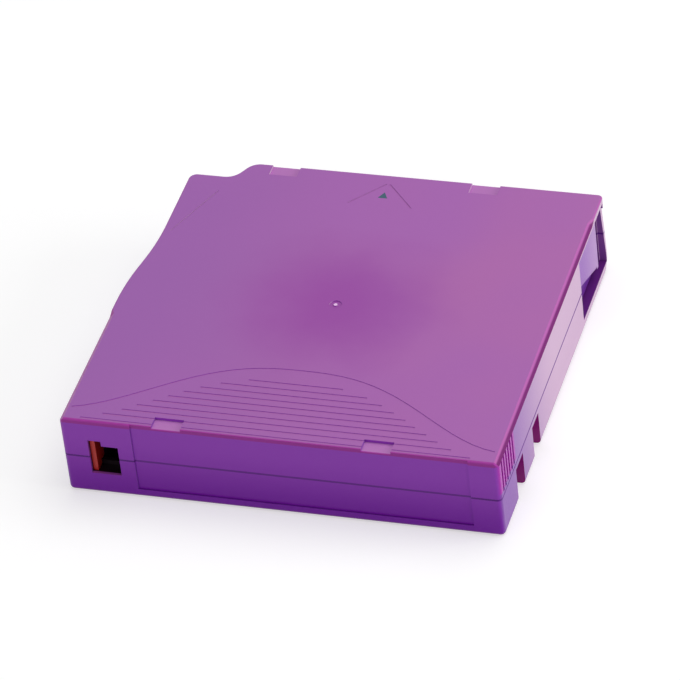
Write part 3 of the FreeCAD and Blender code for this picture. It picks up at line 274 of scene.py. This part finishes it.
class Spot:
    """The spot of a piece that is being shaded: its place in metres and where it faces."""

    def __init__(self, tree: bpy.types.NodeTree) -> None:
        """Reads the piece's own coordinates.

        Args:
            tree: the material's node tree.
        """
        where = add_node(tree, "TexCoord")
        self.tree = tree
        self.place = where.outputs["Object"]
        self.x, self.y, self.z = add_node(tree, "SeparateXYZ", {0: self.place}).outputs
        self.right, self.front, self.up = add_node(
            tree, "SeparateXYZ", {0: where.outputs["Normal"]}
        ).outputs

    def radius(self) -> bpy.types.NodeSocket:
        """Returns the distance from the upright axis through the origin."""
        flat = add_node(self.tree, "CombineXYZ", {0: self.x, 1: self.y}).outputs[0]
        return add_node(self.tree, "VectorMath", {0: flat}, operation="LENGTH").outputs["Value"]

    def within(
        self, value: bpy.types.NodeSocket, low_mm: float, high_mm: float, soft_mm: float = 0.1
    ) -> bpy.types.NodeSocket:
        """Marks where a coordinate lies between two limits.

        Args:
            value: the coordinate.
            low_mm: the lower limit in millimetres.
            high_mm: the upper limit in millimetres.
            soft_mm: how far the mark fades out beyond each limit.

        Returns:
            1 between the limits, fading to 0 outside.
        """
        rise = self.past(value, low_mm - soft_mm, low_mm)
        fall = self.past(value, high_mm + soft_mm, high_mm)
        return combine(self.tree, "MULTIPLY", rise, fall)

    def past(
        self, value: bpy.types.NodeSocket, start_mm: float, full_mm: float
    ) -> bpy.types.NodeSocket:
        """Marks where a coordinate has passed a limit.

        Args:
            value: the coordinate.
            start_mm: where the mark starts, in millimetres.
            full_mm: where it is whole; below start_mm for a mark that grows downwards.

        Returns:
            The mark, from 0 to 1.
        """
        return fade(self.tree, value, start_mm * MM, full_mm * MM)

    def inside(self, room: Room) -> bpy.types.NodeSocket:
        """Marks what lies in a room."""
        sides = zip((self.x, self.y, self.z), room.low, room.high)
        return self.both(*(self.within(value, low, high, 0.2) for value, low, high in sides))

    def facing(self, along: bpy.types.NodeSocket, start: float, full: float) -> bpy.types.NodeSocket:
        """Marks faces that look along an axis, either way.

        Args:
            along: the face's direction along that axis.
            start: where the mark starts, from 0 for square to the axis.
            full: where it is whole, up to 1 for straight along the axis.

        Returns:
            The mark, from 0 to 1.
        """
        return fade(self.tree, combine(self.tree, "ABSOLUTE", along), start, full)

    def both(self, *marks: bpy.types.NodeSocket) -> bpy.types.NodeSocket:
        """Multiplies marks, so that only what they share stays."""
        shared = marks[0]
        for mark in marks[1:]:
            shared = combine(self.tree, "MULTIPLY", shared, mark)
        return shared


@dataclass(frozen=True)
class MouldedPolycarbonate(Finish):
    """Injection-moulded polycarbonate with a purple pigment, from a satin tool.

    The plastic lets a little light in. The level faces keep the plain colour; the upright
    walls get painted shade as shaded violet copies of it, deepest low down, and the faces
    that look right a painted pale highlight. Corners get painted shade in dark magenta.
    The satin grain scatters the gloss, so its specular level is half of a polished face's.
    """

    roughness: float = 0.36
    ior: float = 1.53
    specular: float = 0.25
    grain_mm: float = 0.6
    relief_mm: float = 0.003
    uneven: float = 0.05
    # Painted shade: shaded copies of the colour for the rear, front and side walls.
    rear_shade_colour: str = "#9C40C4"
    rear_foot_shade_colour: str = "#7E10AC"
    front_shade_colour: str = "#9858B0"
    side_shade_colour: str = "#8648AC"
    # Painted highlight: the faces that look right turn pale towards the front.
    side_highlight_colour: str = "#D0AACD"
    shade_colour: str = "#A8108C"
    # Painted shade in the seam and on the label's ledge.
    seam_shade_colour: str = "#64148A"
    # Painted shadow inside the slider's window.
    window_shadow_colour: str = "#12060F"
    # Painted shade on the sill by the door.
    sill_shade_colour: str = "#66207E"
    seam_mm: float = 10.75
    seam_half_mm: float = 0.2
    foot_mm: float = 1.0
    shoulder_mm: float = 18.0
    middle_mm: float = 10.0
    notch_x_mm: float = 49.0
    notch_rear_mm: float = -39.0
    notch_front_mm: float = -16.0
    # Where the painted highlight on the right-facing faces starts and is whole, along y.
    highlight_start_mm: float = -47.0
    highlight_full_mm: float = 2.0
    recess_mm: float = 2.4
    recess_y_mm: float = -50.0
    sill: Room = Room((46.0, 27.0, 1.5), (60.0, 50.0, 3.6))
    window: Room = Room((-50.8, -50.2, 1.6), (-32.0, -42.0, 19.9))

    def dress(self, tree: bpy.types.NodeTree, shader: bpy.types.Node) -> None:
        """Lays the tints of the faces, then the grain.

        Args:
            tree: the material's node tree.
            shader: its Principled BSDF.
        """
        spot = Spot(tree)
        colour = self.wall_tint(spot, self.flat_tint(spot))
        colour = self.corner_tints(spot, colour)
        tree.links.new(colour, shader.inputs["Base Color"])
        grain = self.noise(tree, self.grain_mm)
        ends = {"start": self.roughness - self.uneven, "finish": self.roughness + self.uneven}
        rough = fade(tree, grain, 0.0, 1.0, **ends)
        tree.links.new(rough, shader.inputs["Roughness"])
        self.add_relief(tree, shader, grain)

    def flat_tint(self, spot: Spot) -> object:
        """Returns the colour of the level faces."""
        return self.colour

    def wall_tint(self, spot: Spot, level: object) -> bpy.types.NodeSocket:
        """Paints shade on the upright faces as shaded violet copies of the colour, darker low at the
        rear, with a pale highlight on faces that look right.

        Args:
            spot: the spot that is shaded.
            level: the colour of the level faces.

        Returns:
            The socket of the tinted colour.
        """
        # Painted shade: the rear walls darken towards the bottom.
        rise = spot.past(spot.z, self.foot_mm, self.shoulder_mm)
        rear = blend_colours(spot.tree, rise, self.rear_foot_shade_colour, self.rear_shade_colour)
        # Painted highlight: right-facing walls turn pale towards the front.
        pale = spot.both(
            spot.past(spot.y, self.highlight_start_mm, self.highlight_full_mm),
            fade(spot.tree, spot.right, 0.0, 0.5),
        )
        side = blend_colours(spot.tree, pale, self.side_shade_colour, self.side_highlight_colour)
        ahead = spot.past(spot.y, -self.middle_mm, self.middle_mm)
        ends = blend_colours(spot.tree, ahead, rear, self.front_shade_colour)
        lengthwise = spot.facing(spot.front, 0.4, 0.9)
        wall = blend_colours(spot.tree, lengthwise, side, ends)
        # Painted shade: the upright faces take the wall tints in place of the level colour.
        upright = fade(spot.tree, combine(spot.tree, "ABSOLUTE", spot.up), 0.6, 0.15)
        return blend_colours(spot.tree, upright, level, wall)

    def corner_tints(self, spot: Spot, colour: bpy.types.NodeSocket) -> bpy.types.NodeSocket:
        """Paints shade on the seam, the notches' cheeks, the label's ledge, the sill and the window.

        Args:
            spot: the spot that is shaded.
            colour: the colour so far.

        Returns:
            The socket of the darkened colour.
        """
        # Painted shade: each mark below darkens a joint, a corner or a hollow.
        marks = (
            (self.seam_mark(spot), self.seam_shade_colour),
            (self.cheek_mark(spot), self.shade_colour),
            (self.ledge_mark(spot), self.seam_shade_colour),
            (spot.both(spot.inside(self.sill), fade(spot.tree, spot.up, 0.5, 0.9)), self.sill_shade_colour),
            (spot.inside(self.window), self.window_shadow_colour),
        )
        for mark, tint in marks:
            colour = blend_colours(spot.tree, mark, colour, tint)
        return colour

    def seam_mark(self, spot: Spot) -> bpy.types.NodeSocket:
        """Marks the bevels along the joint between the two shells, for painted shade."""
        low = self.seam_mm - self.seam_half_mm
        return spot.within(spot.z, low, self.seam_mm + self.seam_half_mm, 0.12)

    def cheek_mark(self, spot: Spot) -> bpy.types.NodeSocket:
        """Marks the upright cheeks of the picker notches, below the seam, for painted shade."""
        return spot.both(
            spot.past(combine(spot.tree, "ABSOLUTE", spot.x), self.notch_x_mm, self.notch_x_mm + 1),
            spot.facing(spot.front, 0.8, 0.95),
            spot.within(spot.y, self.notch_rear_mm, self.notch_front_mm),
            spot.past(spot.z, self.seam_mm, self.seam_mm - 1),
        )

    def ledge_mark(self, spot: Spot) -> bpy.types.NodeSocket:
        """Marks the ledge that the label would stand on, for painted shade."""
        return spot.both(
            spot.within(spot.z, self.recess_mm - 0.1, self.recess_mm + 0.1, 0.05),
            spot.past(spot.y, self.recess_y_mm + 0.1, self.recess_y_mm),
            spot.facing(spot.up, 0.5, 0.8),
        )


@dataclass(frozen=True)
class LidPolycarbonate(MouldedPolycarbonate):
    """The lid's moulding: the melt spreads from its gate and leaves clouds in the colour.

    Round the gate in the middle the colour is deepest. The rounded rear and front edges
    carry a painted highlight, the wide side bevels painted shade under a painted highlight,
    the gate's pip a painted highlight, and the grip ribs on the sides look magenta. The lid
    is painted lighter towards the right, and its engraved grooves get painted light.
    """

    # Painted shade at the lid's left end; the plain colour is its lit right end.
    left_shade_colour: str = "#9E5EAE"
    cloud_colour: str = "#A660B2"
    heart_colour: str = "#9A46A4"
    # Painted highlight of the rounded rear and front edges.
    rim_highlight_colour: str = "#A22C9C"
    # Painted highlight along the top of the side bevels, and painted shade below it.
    edge_highlight_colour: str = "#B65EAC"
    bevel_shade_colour: str = "#72046A"
    # Painted highlight on the gate's pip.
    pip_highlight_colour: str = "#F0C6F2"
    # Painted light in the engraved grooves, lifting their shade.
    groove_light_colour: str = "#A860AC"
    dip_colour: str = "#B873BC"
    grip_colour: str = "#AE20B0"
    lid_mm: float = 21.5
    cloud_mm: float = 42.0
    drift_size_mm: float = 14.0
    drift_mm: float = 14.5
    heart_core_mm: float = 8.7
    heart_edge_mm: float = 40.6
    line_top_mm: float = 0.072
    line_floor_mm: float = 0.45
    dip_mm: float = 0.7
    span_mm: float = 50.0
    gate_mm: float = 1.5
    pip_mm: float = 0.4
    bevel_mm: float = 1.1
    # Depths below the lid where the bevel's painted highlight ends and its painted shade is whole.
    edge_highlight_mm: float = 0.25
    shadow_mm: float = 0.65
    rim_y_mm: float = -50.35
    rim_z_mm: float = 20.6
    grip_side_mm: float = 52.0
    grip_rear_mm: float = -50.3
    grip_front_mm: float = -37.6
    grip_low_mm: float = 12.4

    def flat_tint(self, spot: Spot) -> bpy.types.NodeSocket:
        """Lays the painted light that brightens the lid to the right, the clouds, the deep patch round
        the gate, the gate with the painted highlight on its pip and the engraved lines with painted
        light in their grooves.

        Args:
            spot: the spot that is shaded.

        Returns:
            The socket of the level faces' colour.
        """
        tree = spot.tree
        # Painted light: the lid turns lighter and pinker towards the right.
        across = spot.past(spot.x, -self.span_mm, self.span_mm)
        colour = blend_colours(tree, across, self.left_shade_colour, self.colour)
        clouds = fade(tree, self.noise(tree, self.cloud_mm, 1.0), 0.3, 0.9)
        colour = blend_colours(tree, clouds, colour, self.cloud_colour)
        radius = spot.radius()
        drift = combine(tree, "MULTIPLY", self.noise(tree, self.drift_size_mm), self.drift_mm * MM)
        reach = combine(tree, "ADD", radius, drift)
        heart = spot.past(reach, self.heart_edge_mm, self.heart_core_mm)
        colour = blend_colours(tree, heart, colour, self.heart_colour)
        # Painted light: the engraved grooves get a colour that lifts their shade.
        low = self.lid_mm - self.line_floor_mm
        deep = spot.within(spot.z, low, self.lid_mm - self.line_top_mm, 0.03)
        colour = blend_colours(tree, deep, colour, self.groove_light_colour)
        low = self.lid_mm - self.dip_mm
        dip = spot.within(spot.z, low - 0.1, low + 0.1)
        colour = blend_colours(tree, dip, colour, self.dip_colour)
        gate = spot.past(radius, self.gate_mm + 0.1, self.gate_mm)
        colour = blend_colours(tree, gate, colour, self.heart_colour)
        # Painted highlight on the gate's pip.
        pip = spot.past(radius, self.pip_mm + 0.1, self.pip_mm)
        return blend_colours(tree, pip, colour, self.pip_highlight_colour)

    def corner_tints(self, spot: Spot, colour: bpy.types.NodeSocket) -> bpy.types.NodeSocket:
        """Adds the painted highlight of the rim, the painted shade and highlight of the bevels and the
        magenta grip to the other tints.

        Args:
            spot: the spot that is shaded.
            colour: the colour so far.

        Returns:
            The socket of the tinted colour.
        """
        tree = spot.tree
        colour = super().corner_tints(spot, colour)
        # Painted shade on the side bevels under a painted highlight; other slanted edges take the rim's
        # painted highlight.
        slope_mm = self.lid_mm - self.bevel_mm
        slanted = spot.both(
            spot.past(spot.z, slope_mm - 0.3, slope_mm),
            fade(tree, spot.up, 0.1, 0.35),
            fade(tree, spot.up, 0.985, 0.85),
        )
        drop = spot.past(spot.z, self.lid_mm - self.edge_highlight_mm, self.lid_mm - self.shadow_mm)
        bevel = blend_colours(tree, drop, self.edge_highlight_colour, self.bevel_shade_colour)
        rim = blend_colours(tree, fade(tree, spot.right, 0.3, 0.6), self.rim_highlight_colour, bevel)
        colour = blend_colours(tree, slanted, colour, rim)
        # Painted highlight along the rear top edge.
        edge = spot.both(
            spot.past(spot.y, self.rim_y_mm + 0.15, self.rim_y_mm),
            spot.past(spot.z, self.rim_z_mm - 0.25, self.rim_z_mm),
        )
        colour = blend_colours(tree, edge, colour, self.rim_highlight_colour)
        grip = spot.both(
            fade(tree, combine(tree, "ABSOLUTE", spot.up), 0.6, 0.2),
            spot.past(combine(tree, "ABSOLUTE", spot.x), self.grip_side_mm - 0.5, self.grip_side_mm),
            spot.past(spot.y, self.grip_front_mm + 0.4, self.grip_front_mm),
            spot.past(spot.z, self.grip_low_mm - 0.4, self.grip_low_mm),
            spot.past(spot.y, self.grip_rear_mm - 0.7, self.grip_rear_mm),
        )
        return blend_colours(tree, grip, colour, self.grip_colour)


@dataclass(frozen=True)
class DoorPolycarbonate(MouldedPolycarbonate):
    """The door's moulding: its foot is set in behind the sill and gets painted shade in deep violet."""

    # Painted shade on the door's walls, with a painted pale highlight on its faces that look right.
    side_shade_colour: str = "#9050B6"
    side_highlight_colour: str = "#B082C4"
    highlight_start_mm: float = 28.0
    highlight_full_mm: float = 45.0
    # Painted shade on the set-in foot.
    set_in_foot_shade_colour: str = "#6A2A96"
    foot_start_mm: float = 52.3
    foot_full_mm: float = 50.7

    def corner_tints(self, spot: Spot, colour: bpy.types.NodeSocket) -> bpy.types.NodeSocket:
        """Paints shade on the foot, where little light comes.

        Args:
            spot: the spot that is shaded.
            colour: the colour so far.

        Returns:
            The socket of the tinted colour.
        """
        # Painted shade: the foot turns deep violet as it sets in.
        set_in = spot.past(spot.x, self.foot_start_mm, self.foot_full_mm)
        return blend_colours(spot.tree, set_in, colour, self.set_in_foot_shade_colour)


@dataclass(frozen=True)
class MouldedAcetal(Finish):
    """Injection-moulded acetal: waxy, even in colour, with the faint grain of its tool."""

    tone_mm: float = 6.0
    tone_share: float = 0.25
    tone_value: float = 0.8

    def dress(self, tree: bpy.types.NodeTree, shader: bpy.types.Node) -> None:
        """Adds the tool's grain and a slight change of tone.

        Args:
            tree: the material's node tree.
            shader: its Principled BSDF.
        """
        tone = fade(tree, self.noise(tree, self.tone_mm), 0.3, 0.7, finish=self.tone_share)
        inputs = {"Color": linear(self.colour), "Value": self.tone_value}
        dark = add_node(tree, "HueSaturation", inputs)
        colour = blend_colours(tree, tone, self.colour, dark.outputs[0])
        tree.links.new(colour, shader.inputs["Base Color"])
        self.add_relief(tree, shader, self.noise(tree, self.grain_mm))


@dataclass(frozen=True)
class WorkedMetal(Finish):
    """Bright metal, turned or drawn: fine lines run across its axis and catch the light."""

    metallic: float = 1.0
    line_mm: float = 0.25
    line_axis: int = 2
    line_stretch: float = 0.05

    def dress(self, tree: bpy.types.NodeTree, shader: bpy.types.Node) -> None:
        """Adds the lines that turning, drawing or stamping leaves.

        Args:
            tree: the material's node tree.
            shader: its Principled BSDF.
        """
        place = add_node(tree, "TexCoord").outputs["Object"]
        stretch = [self.line_stretch] * 3
        stretch[self.line_axis] = 1.0
        lines = add_node(tree, "Mapping", {"Vector": place, "Scale": tuple(stretch)})
        inputs = {"Vector": lines.outputs[0], "Scale": 1 / (self.line_mm * MM), "Detail": 1.0}
        pattern = add_node(tree, "TexNoise", inputs).outputs["Fac"]
        ends = {"start": self.roughness - 0.06, "finish": self.roughness + 0.08}
        rough = fade(tree, pattern, 0.3, 0.7, **ends)
        tree.links.new(rough, shader.inputs["Roughness"])
        self.add_relief(tree, shader, pattern)


@dataclass(frozen=True)
class WoundFilm(Finish):
    """Coated film wound on a reel: near black, with the turns as fine rings on its ends.

    A turn is thinner than a hair, so the rings are drawn as wide as they need to show.
    """

    ring_mm: float = 0.5
    ring_colour: str = "#3A2C28"

    def dress(self, tree: bpy.types.NodeTree, shader: bpy.types.Node) -> None:
        """Adds the rings of the turns.

        Args:
            tree: the material's node tree.
            shader: its Principled BSDF.
        """
        place = add_node(tree, "SeparateXYZ", {0: add_node(tree, "TexCoord").outputs["Object"]})
        squares = [combine(tree, "MULTIPLY", place.outputs[axis], place.outputs[axis]) for axis in "XY"]
        radius = combine(tree, "SQRT", combine(tree, "ADD", *squares))
        inputs = {"W": radius, "Scale": 1 / (self.ring_mm * MM), "Detail": 3.0}
        rings = add_node(tree, "TexNoise", inputs, noise_dimensions="1D").outputs["Fac"]
        colour = blend_colours(tree, fade(tree, rings, 0.35, 0.65), self.colour, self.ring_colour)
        tree.links.new(colour, shader.inputs["Base Color"])
        self.add_relief(tree, shader, rings)


@dataclass(frozen=True)
class PrintedBoard(Finish):
    """Glass-epoxy board under green lacquer: its copper shows as lighter tracks."""

    track_mm: float = 0.8
    track_colour: str = "#2F7A4A"

    def dress(self, tree: bpy.types.NodeTree, shader: bpy.types.Node) -> None:
        """Adds the tracks of the antenna.

        Args:
            tree: the material's node tree.
            shader: its Principled BSDF.
        """
        place = add_node(tree, "TexCoord").outputs["Object"]
        inputs = {"Vector": place, "Scale": 1 / (self.track_mm * MM) / (2 * math.pi)}
        bands = add_node(tree, "TexWave", inputs, bands_direction="Z").outputs["Fac"]
        copper = fade(tree, bands, 0.45, 0.55)
        colour = blend_colours(tree, copper, self.colour, self.track_colour)
        tree.links.new(colour, shader.inputs["Base Color"])
        self.add_relief(tree, shader, copper)


SHELL_LID = LidPolycarbonate("moulded_polycarbonate_lid", "#B065AC")
SHELL_BASE = MouldedPolycarbonate("moulded_polycarbonate_base", "#9E4CA6")
DOOR_PLASTIC = DoorPolycarbonate("moulded_polycarbonate_door", "#9A48AA")
RED_ACETAL = MouldedAcetal("moulded_acetal_red", "#C22418", 0.35, ior=1.48)
WHITE_ACETAL = MouldedAcetal("moulded_acetal_white", "#DEDCD3", 0.42, ior=1.48)
NATURAL_ACETAL = MouldedAcetal("moulded_acetal_natural", "#CFCBBD", 0.42, ior=1.48)
REEL_PLASTIC = MouldedAcetal("moulded_polycarbonate_grey", "#B9BCC0", 0.4, ior=1.585)
TURNED_STEEL = WorkedMetal("turned_stainless_steel", "#C8C6C1", 0.24)
STAMPED_STEEL = WorkedMetal("stamped_steel_plate", "#BDBCB8", 0.34, line_mm=0.5, line_axis=0)
SPRING_WIRE = WorkedMetal("drawn_spring_wire", "#A8A7A3", 0.3, line_mm=0.4)
BLACK_ZINC = WorkedMetal("black_zinc_plate", "#2B2B30", 0.34, line_mm=0.3)
TAPE_FILM = WoundFilm("wound_tape_film", "#1C1513", 0.3, ior=1.6)
GREEN_BOARD = PrintedBoard("lacquered_board", "#14502B", 0.35, ior=1.55, relief_mm=0.02)
CHIP_EPOXY = Finish("moulded_epoxy", "#1A1A1B", 0.5, ior=1.55, grain_mm=0.3, relief_mm=0.01)
ARROW_INK = Finish("printed_ink", "#1B4A5E", 0.5, ior=1.5, grain_mm=0.2, relief_mm=0.001)


@dataclass
class PackedPieces:
    """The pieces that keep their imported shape, each with the finish of the real one."""

    finishes: dict[str, Finish] = field(
        default_factory=lambda: {
            "upper_shell": SHELL_LID,
            "lower_shell": SHELL_BASE,
            "access_door": DOOR_PLASTIC,
            "write_protect_slider": RED_ACETAL,
            "door_pin": TURNED_STEEL,
            "leader_pin": TURNED_STEEL,
            "clutch_plate": STAMPED_STEEL,
            "door_spring": SPRING_WIRE,
            "leader_pin_spring": SPRING_WIRE,
            "case_screws": BLACK_ZINC,
            "reel_hub": REEL_PLASTIC,
            "reel_upper_flange": REEL_PLASTIC,
            "tape_pack": TAPE_FILM,
            "tape_lead": TAPE_FILM,
            "brake_button": WHITE_ACETAL,
            "brake_release": WHITE_ACETAL,
            "leader_tape_clip": NATURAL_ACETAL,
            "memory_board": GREEN_BOARD,
            "memory_chip": CHIP_EPOXY,
        }
    )

    def dress(self) -> None:
        """Puts each finish in its node's material slots."""
        for node, finish in self.finishes.items():
            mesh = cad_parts[node].data
            mesh.materials.clear()
            mesh.materials.append(finish.material())
            LOG.info("%s: %s", node, finish.name)


@dataclass
class PrintedArrow:
    """The small solid triangle printed on the lid, which shows the way in."""

    tip_from_front: float = 6.9 * MM
    length: float = 2.3 * MM
    half_width: float = 1.2 * MM
    sunk: float = 0.02 * MM
    proud: float = 0.005 * MM

    def build(self) -> bpy.types.Object:
        """Makes the print as a thin layer of ink on the lid.

        Returns:
            The print, riding on the case.
        """
        low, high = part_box("upper_shell")
        tip = high.y - self.tip_from_front
        mesh = bmesh.new()
        corners = [(0, tip), (-self.half_width, tip - self.length), (self.half_width, tip - self.length)]
        points = [mesh.verts.new((x, y, high.z - self.sunk)) for x, y in corners]
        layer = mesh.faces.new(points)
        raised = bmesh.ops.extrude_face_region(mesh, geom=[layer])
        top = [part for part in raised["geom"] if isinstance(part, bmesh.types.BMVert)]
        bmesh.ops.translate(mesh, vec=(0, 0, self.sunk + self.proud), verts=top)
        bmesh.ops.recalc_face_normals(mesh, faces=mesh.faces)
        return finish_piece(mesh, "arrow_print", ARROW_INK, Body.CASE)


@dataclass
class BrakeSpring:
    """The wound spring above the brake, which shortens while the brake is lifted."""

    wire: float = 0.5 * MM
    lift: float = 2.0 * MM
    turns: int = 5
    steps: int = 48
    sides: int = 12

    def build(self) -> bpy.types.Object:
        """Winds the spring.

        Returns:
            The spring, riding on the case.
        """
        low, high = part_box("brake_spring")
        mesh = bmesh.new()
        rings = [self.ring(mesh, step, low, high) for step in range(self.turns * self.steps + 1)]
        for lower, upper in zip(rings, rings[1:]):
            for side in range(self.sides):
                onward = (side + 1) % self.sides
                mesh.faces.new((lower[side], lower[onward], upper[onward], upper[side]))
        mesh.faces.new(rings[0])
        mesh.faces.new(rings[-1])
        bmesh.ops.recalc_face_normals(mesh, faces=mesh.faces)
        spring = finish_piece(mesh, "brake_coil", SPRING_WIRE, Body.CASE)
        spring.data.shade_smooth()
        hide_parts("brake_spring")
        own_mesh(spring)
        return spring

    def ring(
        self, mesh: bmesh.types.BMesh, step: int, low: Vector, high: Vector
    ) -> list[bmesh.types.BMVert]:
        """Places one ring of the wire's surface.

        Args:
            mesh: the spring's mesh.
            step: how many steps up the winding it is.
            low: the lowest corner of the spring's box.
            high: the highest corner of the spring's box.

        Returns:
            The ring's points.
        """
        turn = math.tau * step / self.steps
        rise = (high.z - low.z - self.wire * 2) * step / (self.turns * self.steps)
        middle = (high.x - low.x) / 2 - self.wire
        points = []
        for side in range(self.sides):
            bend = math.tau * side / self.sides
            reach = middle + self.wire * math.cos(bend)
            height = low.z + self.wire + rise + self.wire * math.sin(bend)
            points.append(mesh.verts.new((reach * math.cos(turn), reach * math.sin(turn), height)))
        return points


def finish_piece(
    mesh: bmesh.types.BMesh, name: str, finish: Finish, body: Body
) -> bpy.types.Object:
    """Turns a bmesh into a piece that rides on a body.

    Args:
        mesh: the shape, in place; it is freed.
        name: the piece's name.
        finish: its finish.
        body: the body it rides on.

    Returns:
        The new object.
    """
    data = bpy.data.meshes.new(name)
    mesh.to_mesh(data)
    mesh.free()
    data.materials.append(finish.material())
    piece = bpy.data.objects.new(name, data)
    bpy.context.scene.collection.objects.link(piece)
    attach(piece, body.value)
    LOG.info("%s: %d faces, %s", name, len(data.polygons), finish.name)
    return piece


@dataclass(frozen=True)
class Lamp:
    """A square soft lamp that faces the part: its place, its side in metres and its watts."""

    name: str
    place: tuple[float, float, float]
    size: float
    power: float


LAMPS = (
    Lamp("lamp_top", (0.15, 0.25, 0.9), 0.9, 4.6),
    Lamp("lamp_front", (-0.35, -0.95, 0.45), 0.7, 1.6),
    Lamp("lamp_right", (0.95, 0.1, 0.3), 0.6, 4.6),
)


@dataclass
class Studio:
    """A pale floor and soft lamps, at a level where a colour renders about as written."""

    floor_size: float = 6.0
    floor_colour: str = "#D0D0D0"
    floor_lift: float = 0.5
    floor_drop: float = 0.1 * MM
    world_fill: float = 0.3

    def build(self) -> None:
        """Makes the floor, the world and the lamps."""
        self.make_floor()
        self.make_world()
        for lamp in LAMPS:
            self.make_lamp(lamp)

    def make_floor(self) -> None:
        """Makes the floor, which shows as white but keeps the shadow."""
        mesh = bmesh.new()
        bmesh.ops.create_grid(mesh, x_segments=1, y_segments=1, size=self.floor_size / 2)
        data = bpy.data.meshes.new("floor")
        mesh.to_mesh(data)
        mesh.free()
        floor = bpy.data.objects.new("floor", data)
        floor.location.z = -self.floor_drop
        bpy.context.scene.collection.objects.link(floor)
        data.materials.append(self.floor_material())

    def floor_material(self) -> bpy.types.Material:
        """Returns matt paper that looks white to the eye and in reflections."""
        made = bpy.data.materials.new("matt_paper_floor")
        made.use_nodes = True
        tree = made.node_tree
        tree.nodes.clear()
        paper = add_node(tree, "BsdfDiffuse", {"Color": linear(self.floor_colour)})
        glow = add_node(tree, "Emission", {"Strength": self.floor_lift})
        lit = add_node(tree, "AddShader", {0: paper.outputs[0], 1: glow.outputs[0]})
        seen = self.seen_directly(tree)
        shown = add_node(tree, "MixShader", {0: seen, 1: paper.outputs[0], 2: lit.outputs[0]})
        add_node(tree, "OutputMaterial", {"Surface": shown.outputs[0]})
        return made

    def seen_directly(self, tree: bpy.types.NodeTree) -> bpy.types.NodeSocket:
        """Returns 1 for rays of the eye, of reflections and of what shines through."""
        path = add_node(tree, "LightPath")
        shiny = combine(tree, "MAXIMUM", path.outputs["Is Camera Ray"], path.outputs["Is Glossy Ray"])
        return combine(tree, "MAXIMUM", shiny, path.outputs["Is Transmission Ray"])

    def make_world(self) -> None:
        """Makes the world: white where it is seen, a soft fill where it lights."""
        world = bpy.data.worlds.new("studio")
        bpy.context.scene.world = world
        world.use_nodes = True
        tree = world.node_tree
        tree.nodes.clear()
        level = fade(tree, self.seen_directly(tree), 0.0, 1.0, start=self.world_fill, finish=1.0)
        sky = add_node(tree, "Background", {"Color": (1, 1, 1, 1), "Strength": level})
        add_node(tree, "OutputWorld", {"Surface": sky.outputs[0]})

    def make_lamp(self, lamp: Lamp) -> None:
        """Makes one lamp, turned to the origin."""
        data = bpy.data.lights.new(lamp.name, "AREA")
        data.shape = "SQUARE"
        data.size = lamp.size
        data.energy = lamp.power
        made = bpy.data.objects.new(lamp.name, data)
        bpy.context.scene.collection.objects.link(made)
        place = Vector(lamp.place)
        made.location = place
        made.rotation_euler = (-place).to_track_quat("-Z", "Y").to_euler()


@dataclass
class Viewpoint:
    """The camera: a long lens from above the label face, a little to the right."""

    azimuth: float = math.radians(20.1)
    elevation: float = math.radians(38.28)
    distance: float = 1.267
    roll: float = math.radians(7.04)
    lens: float = 283.0
    sensor: float = 36.0
    aim: tuple[float, float, float] = (0.0, 0.0, 10.75 * MM)

    def build(self) -> None:
        """Makes the camera and sets it as the scene's."""
        data = bpy.data.cameras.new("camera")
        data.lens = self.lens
        data.sensor_width = self.sensor
        data.clip_end = 100.0
        camera = bpy.data.objects.new("camera", data)
        bpy.context.scene.collection.objects.link(camera)
        flat = math.cos(self.elevation)
        right, forward = math.sin(self.azimuth) * flat, -math.cos(self.azimuth) * flat
        back = Vector((right, forward, math.sin(self.elevation)))
        turn = (-back).to_track_quat("-Z", "Y").to_matrix().to_4x4()
        place = Matrix.Translation(Vector(self.aim) + back * self.distance)
        camera.matrix_world = place @ turn @ Matrix.Rotation(-self.roll, 4, "Z")
        bpy.context.scene.camera = camera


def main() -> None:
    """Builds the pieces, the studio and the camera in order."""
    logging.basicConfig(level=logging.INFO, format="%(name)s %(message)s")
    bpy.context.scene.view_settings.view_transform = "Standard"
    PackedPieces().dress()
    PrintedArrow().build()
    BrakeSpring().build()
    Studio().build()
    Viewpoint().build()


if __name__ == "__main__":
    main()
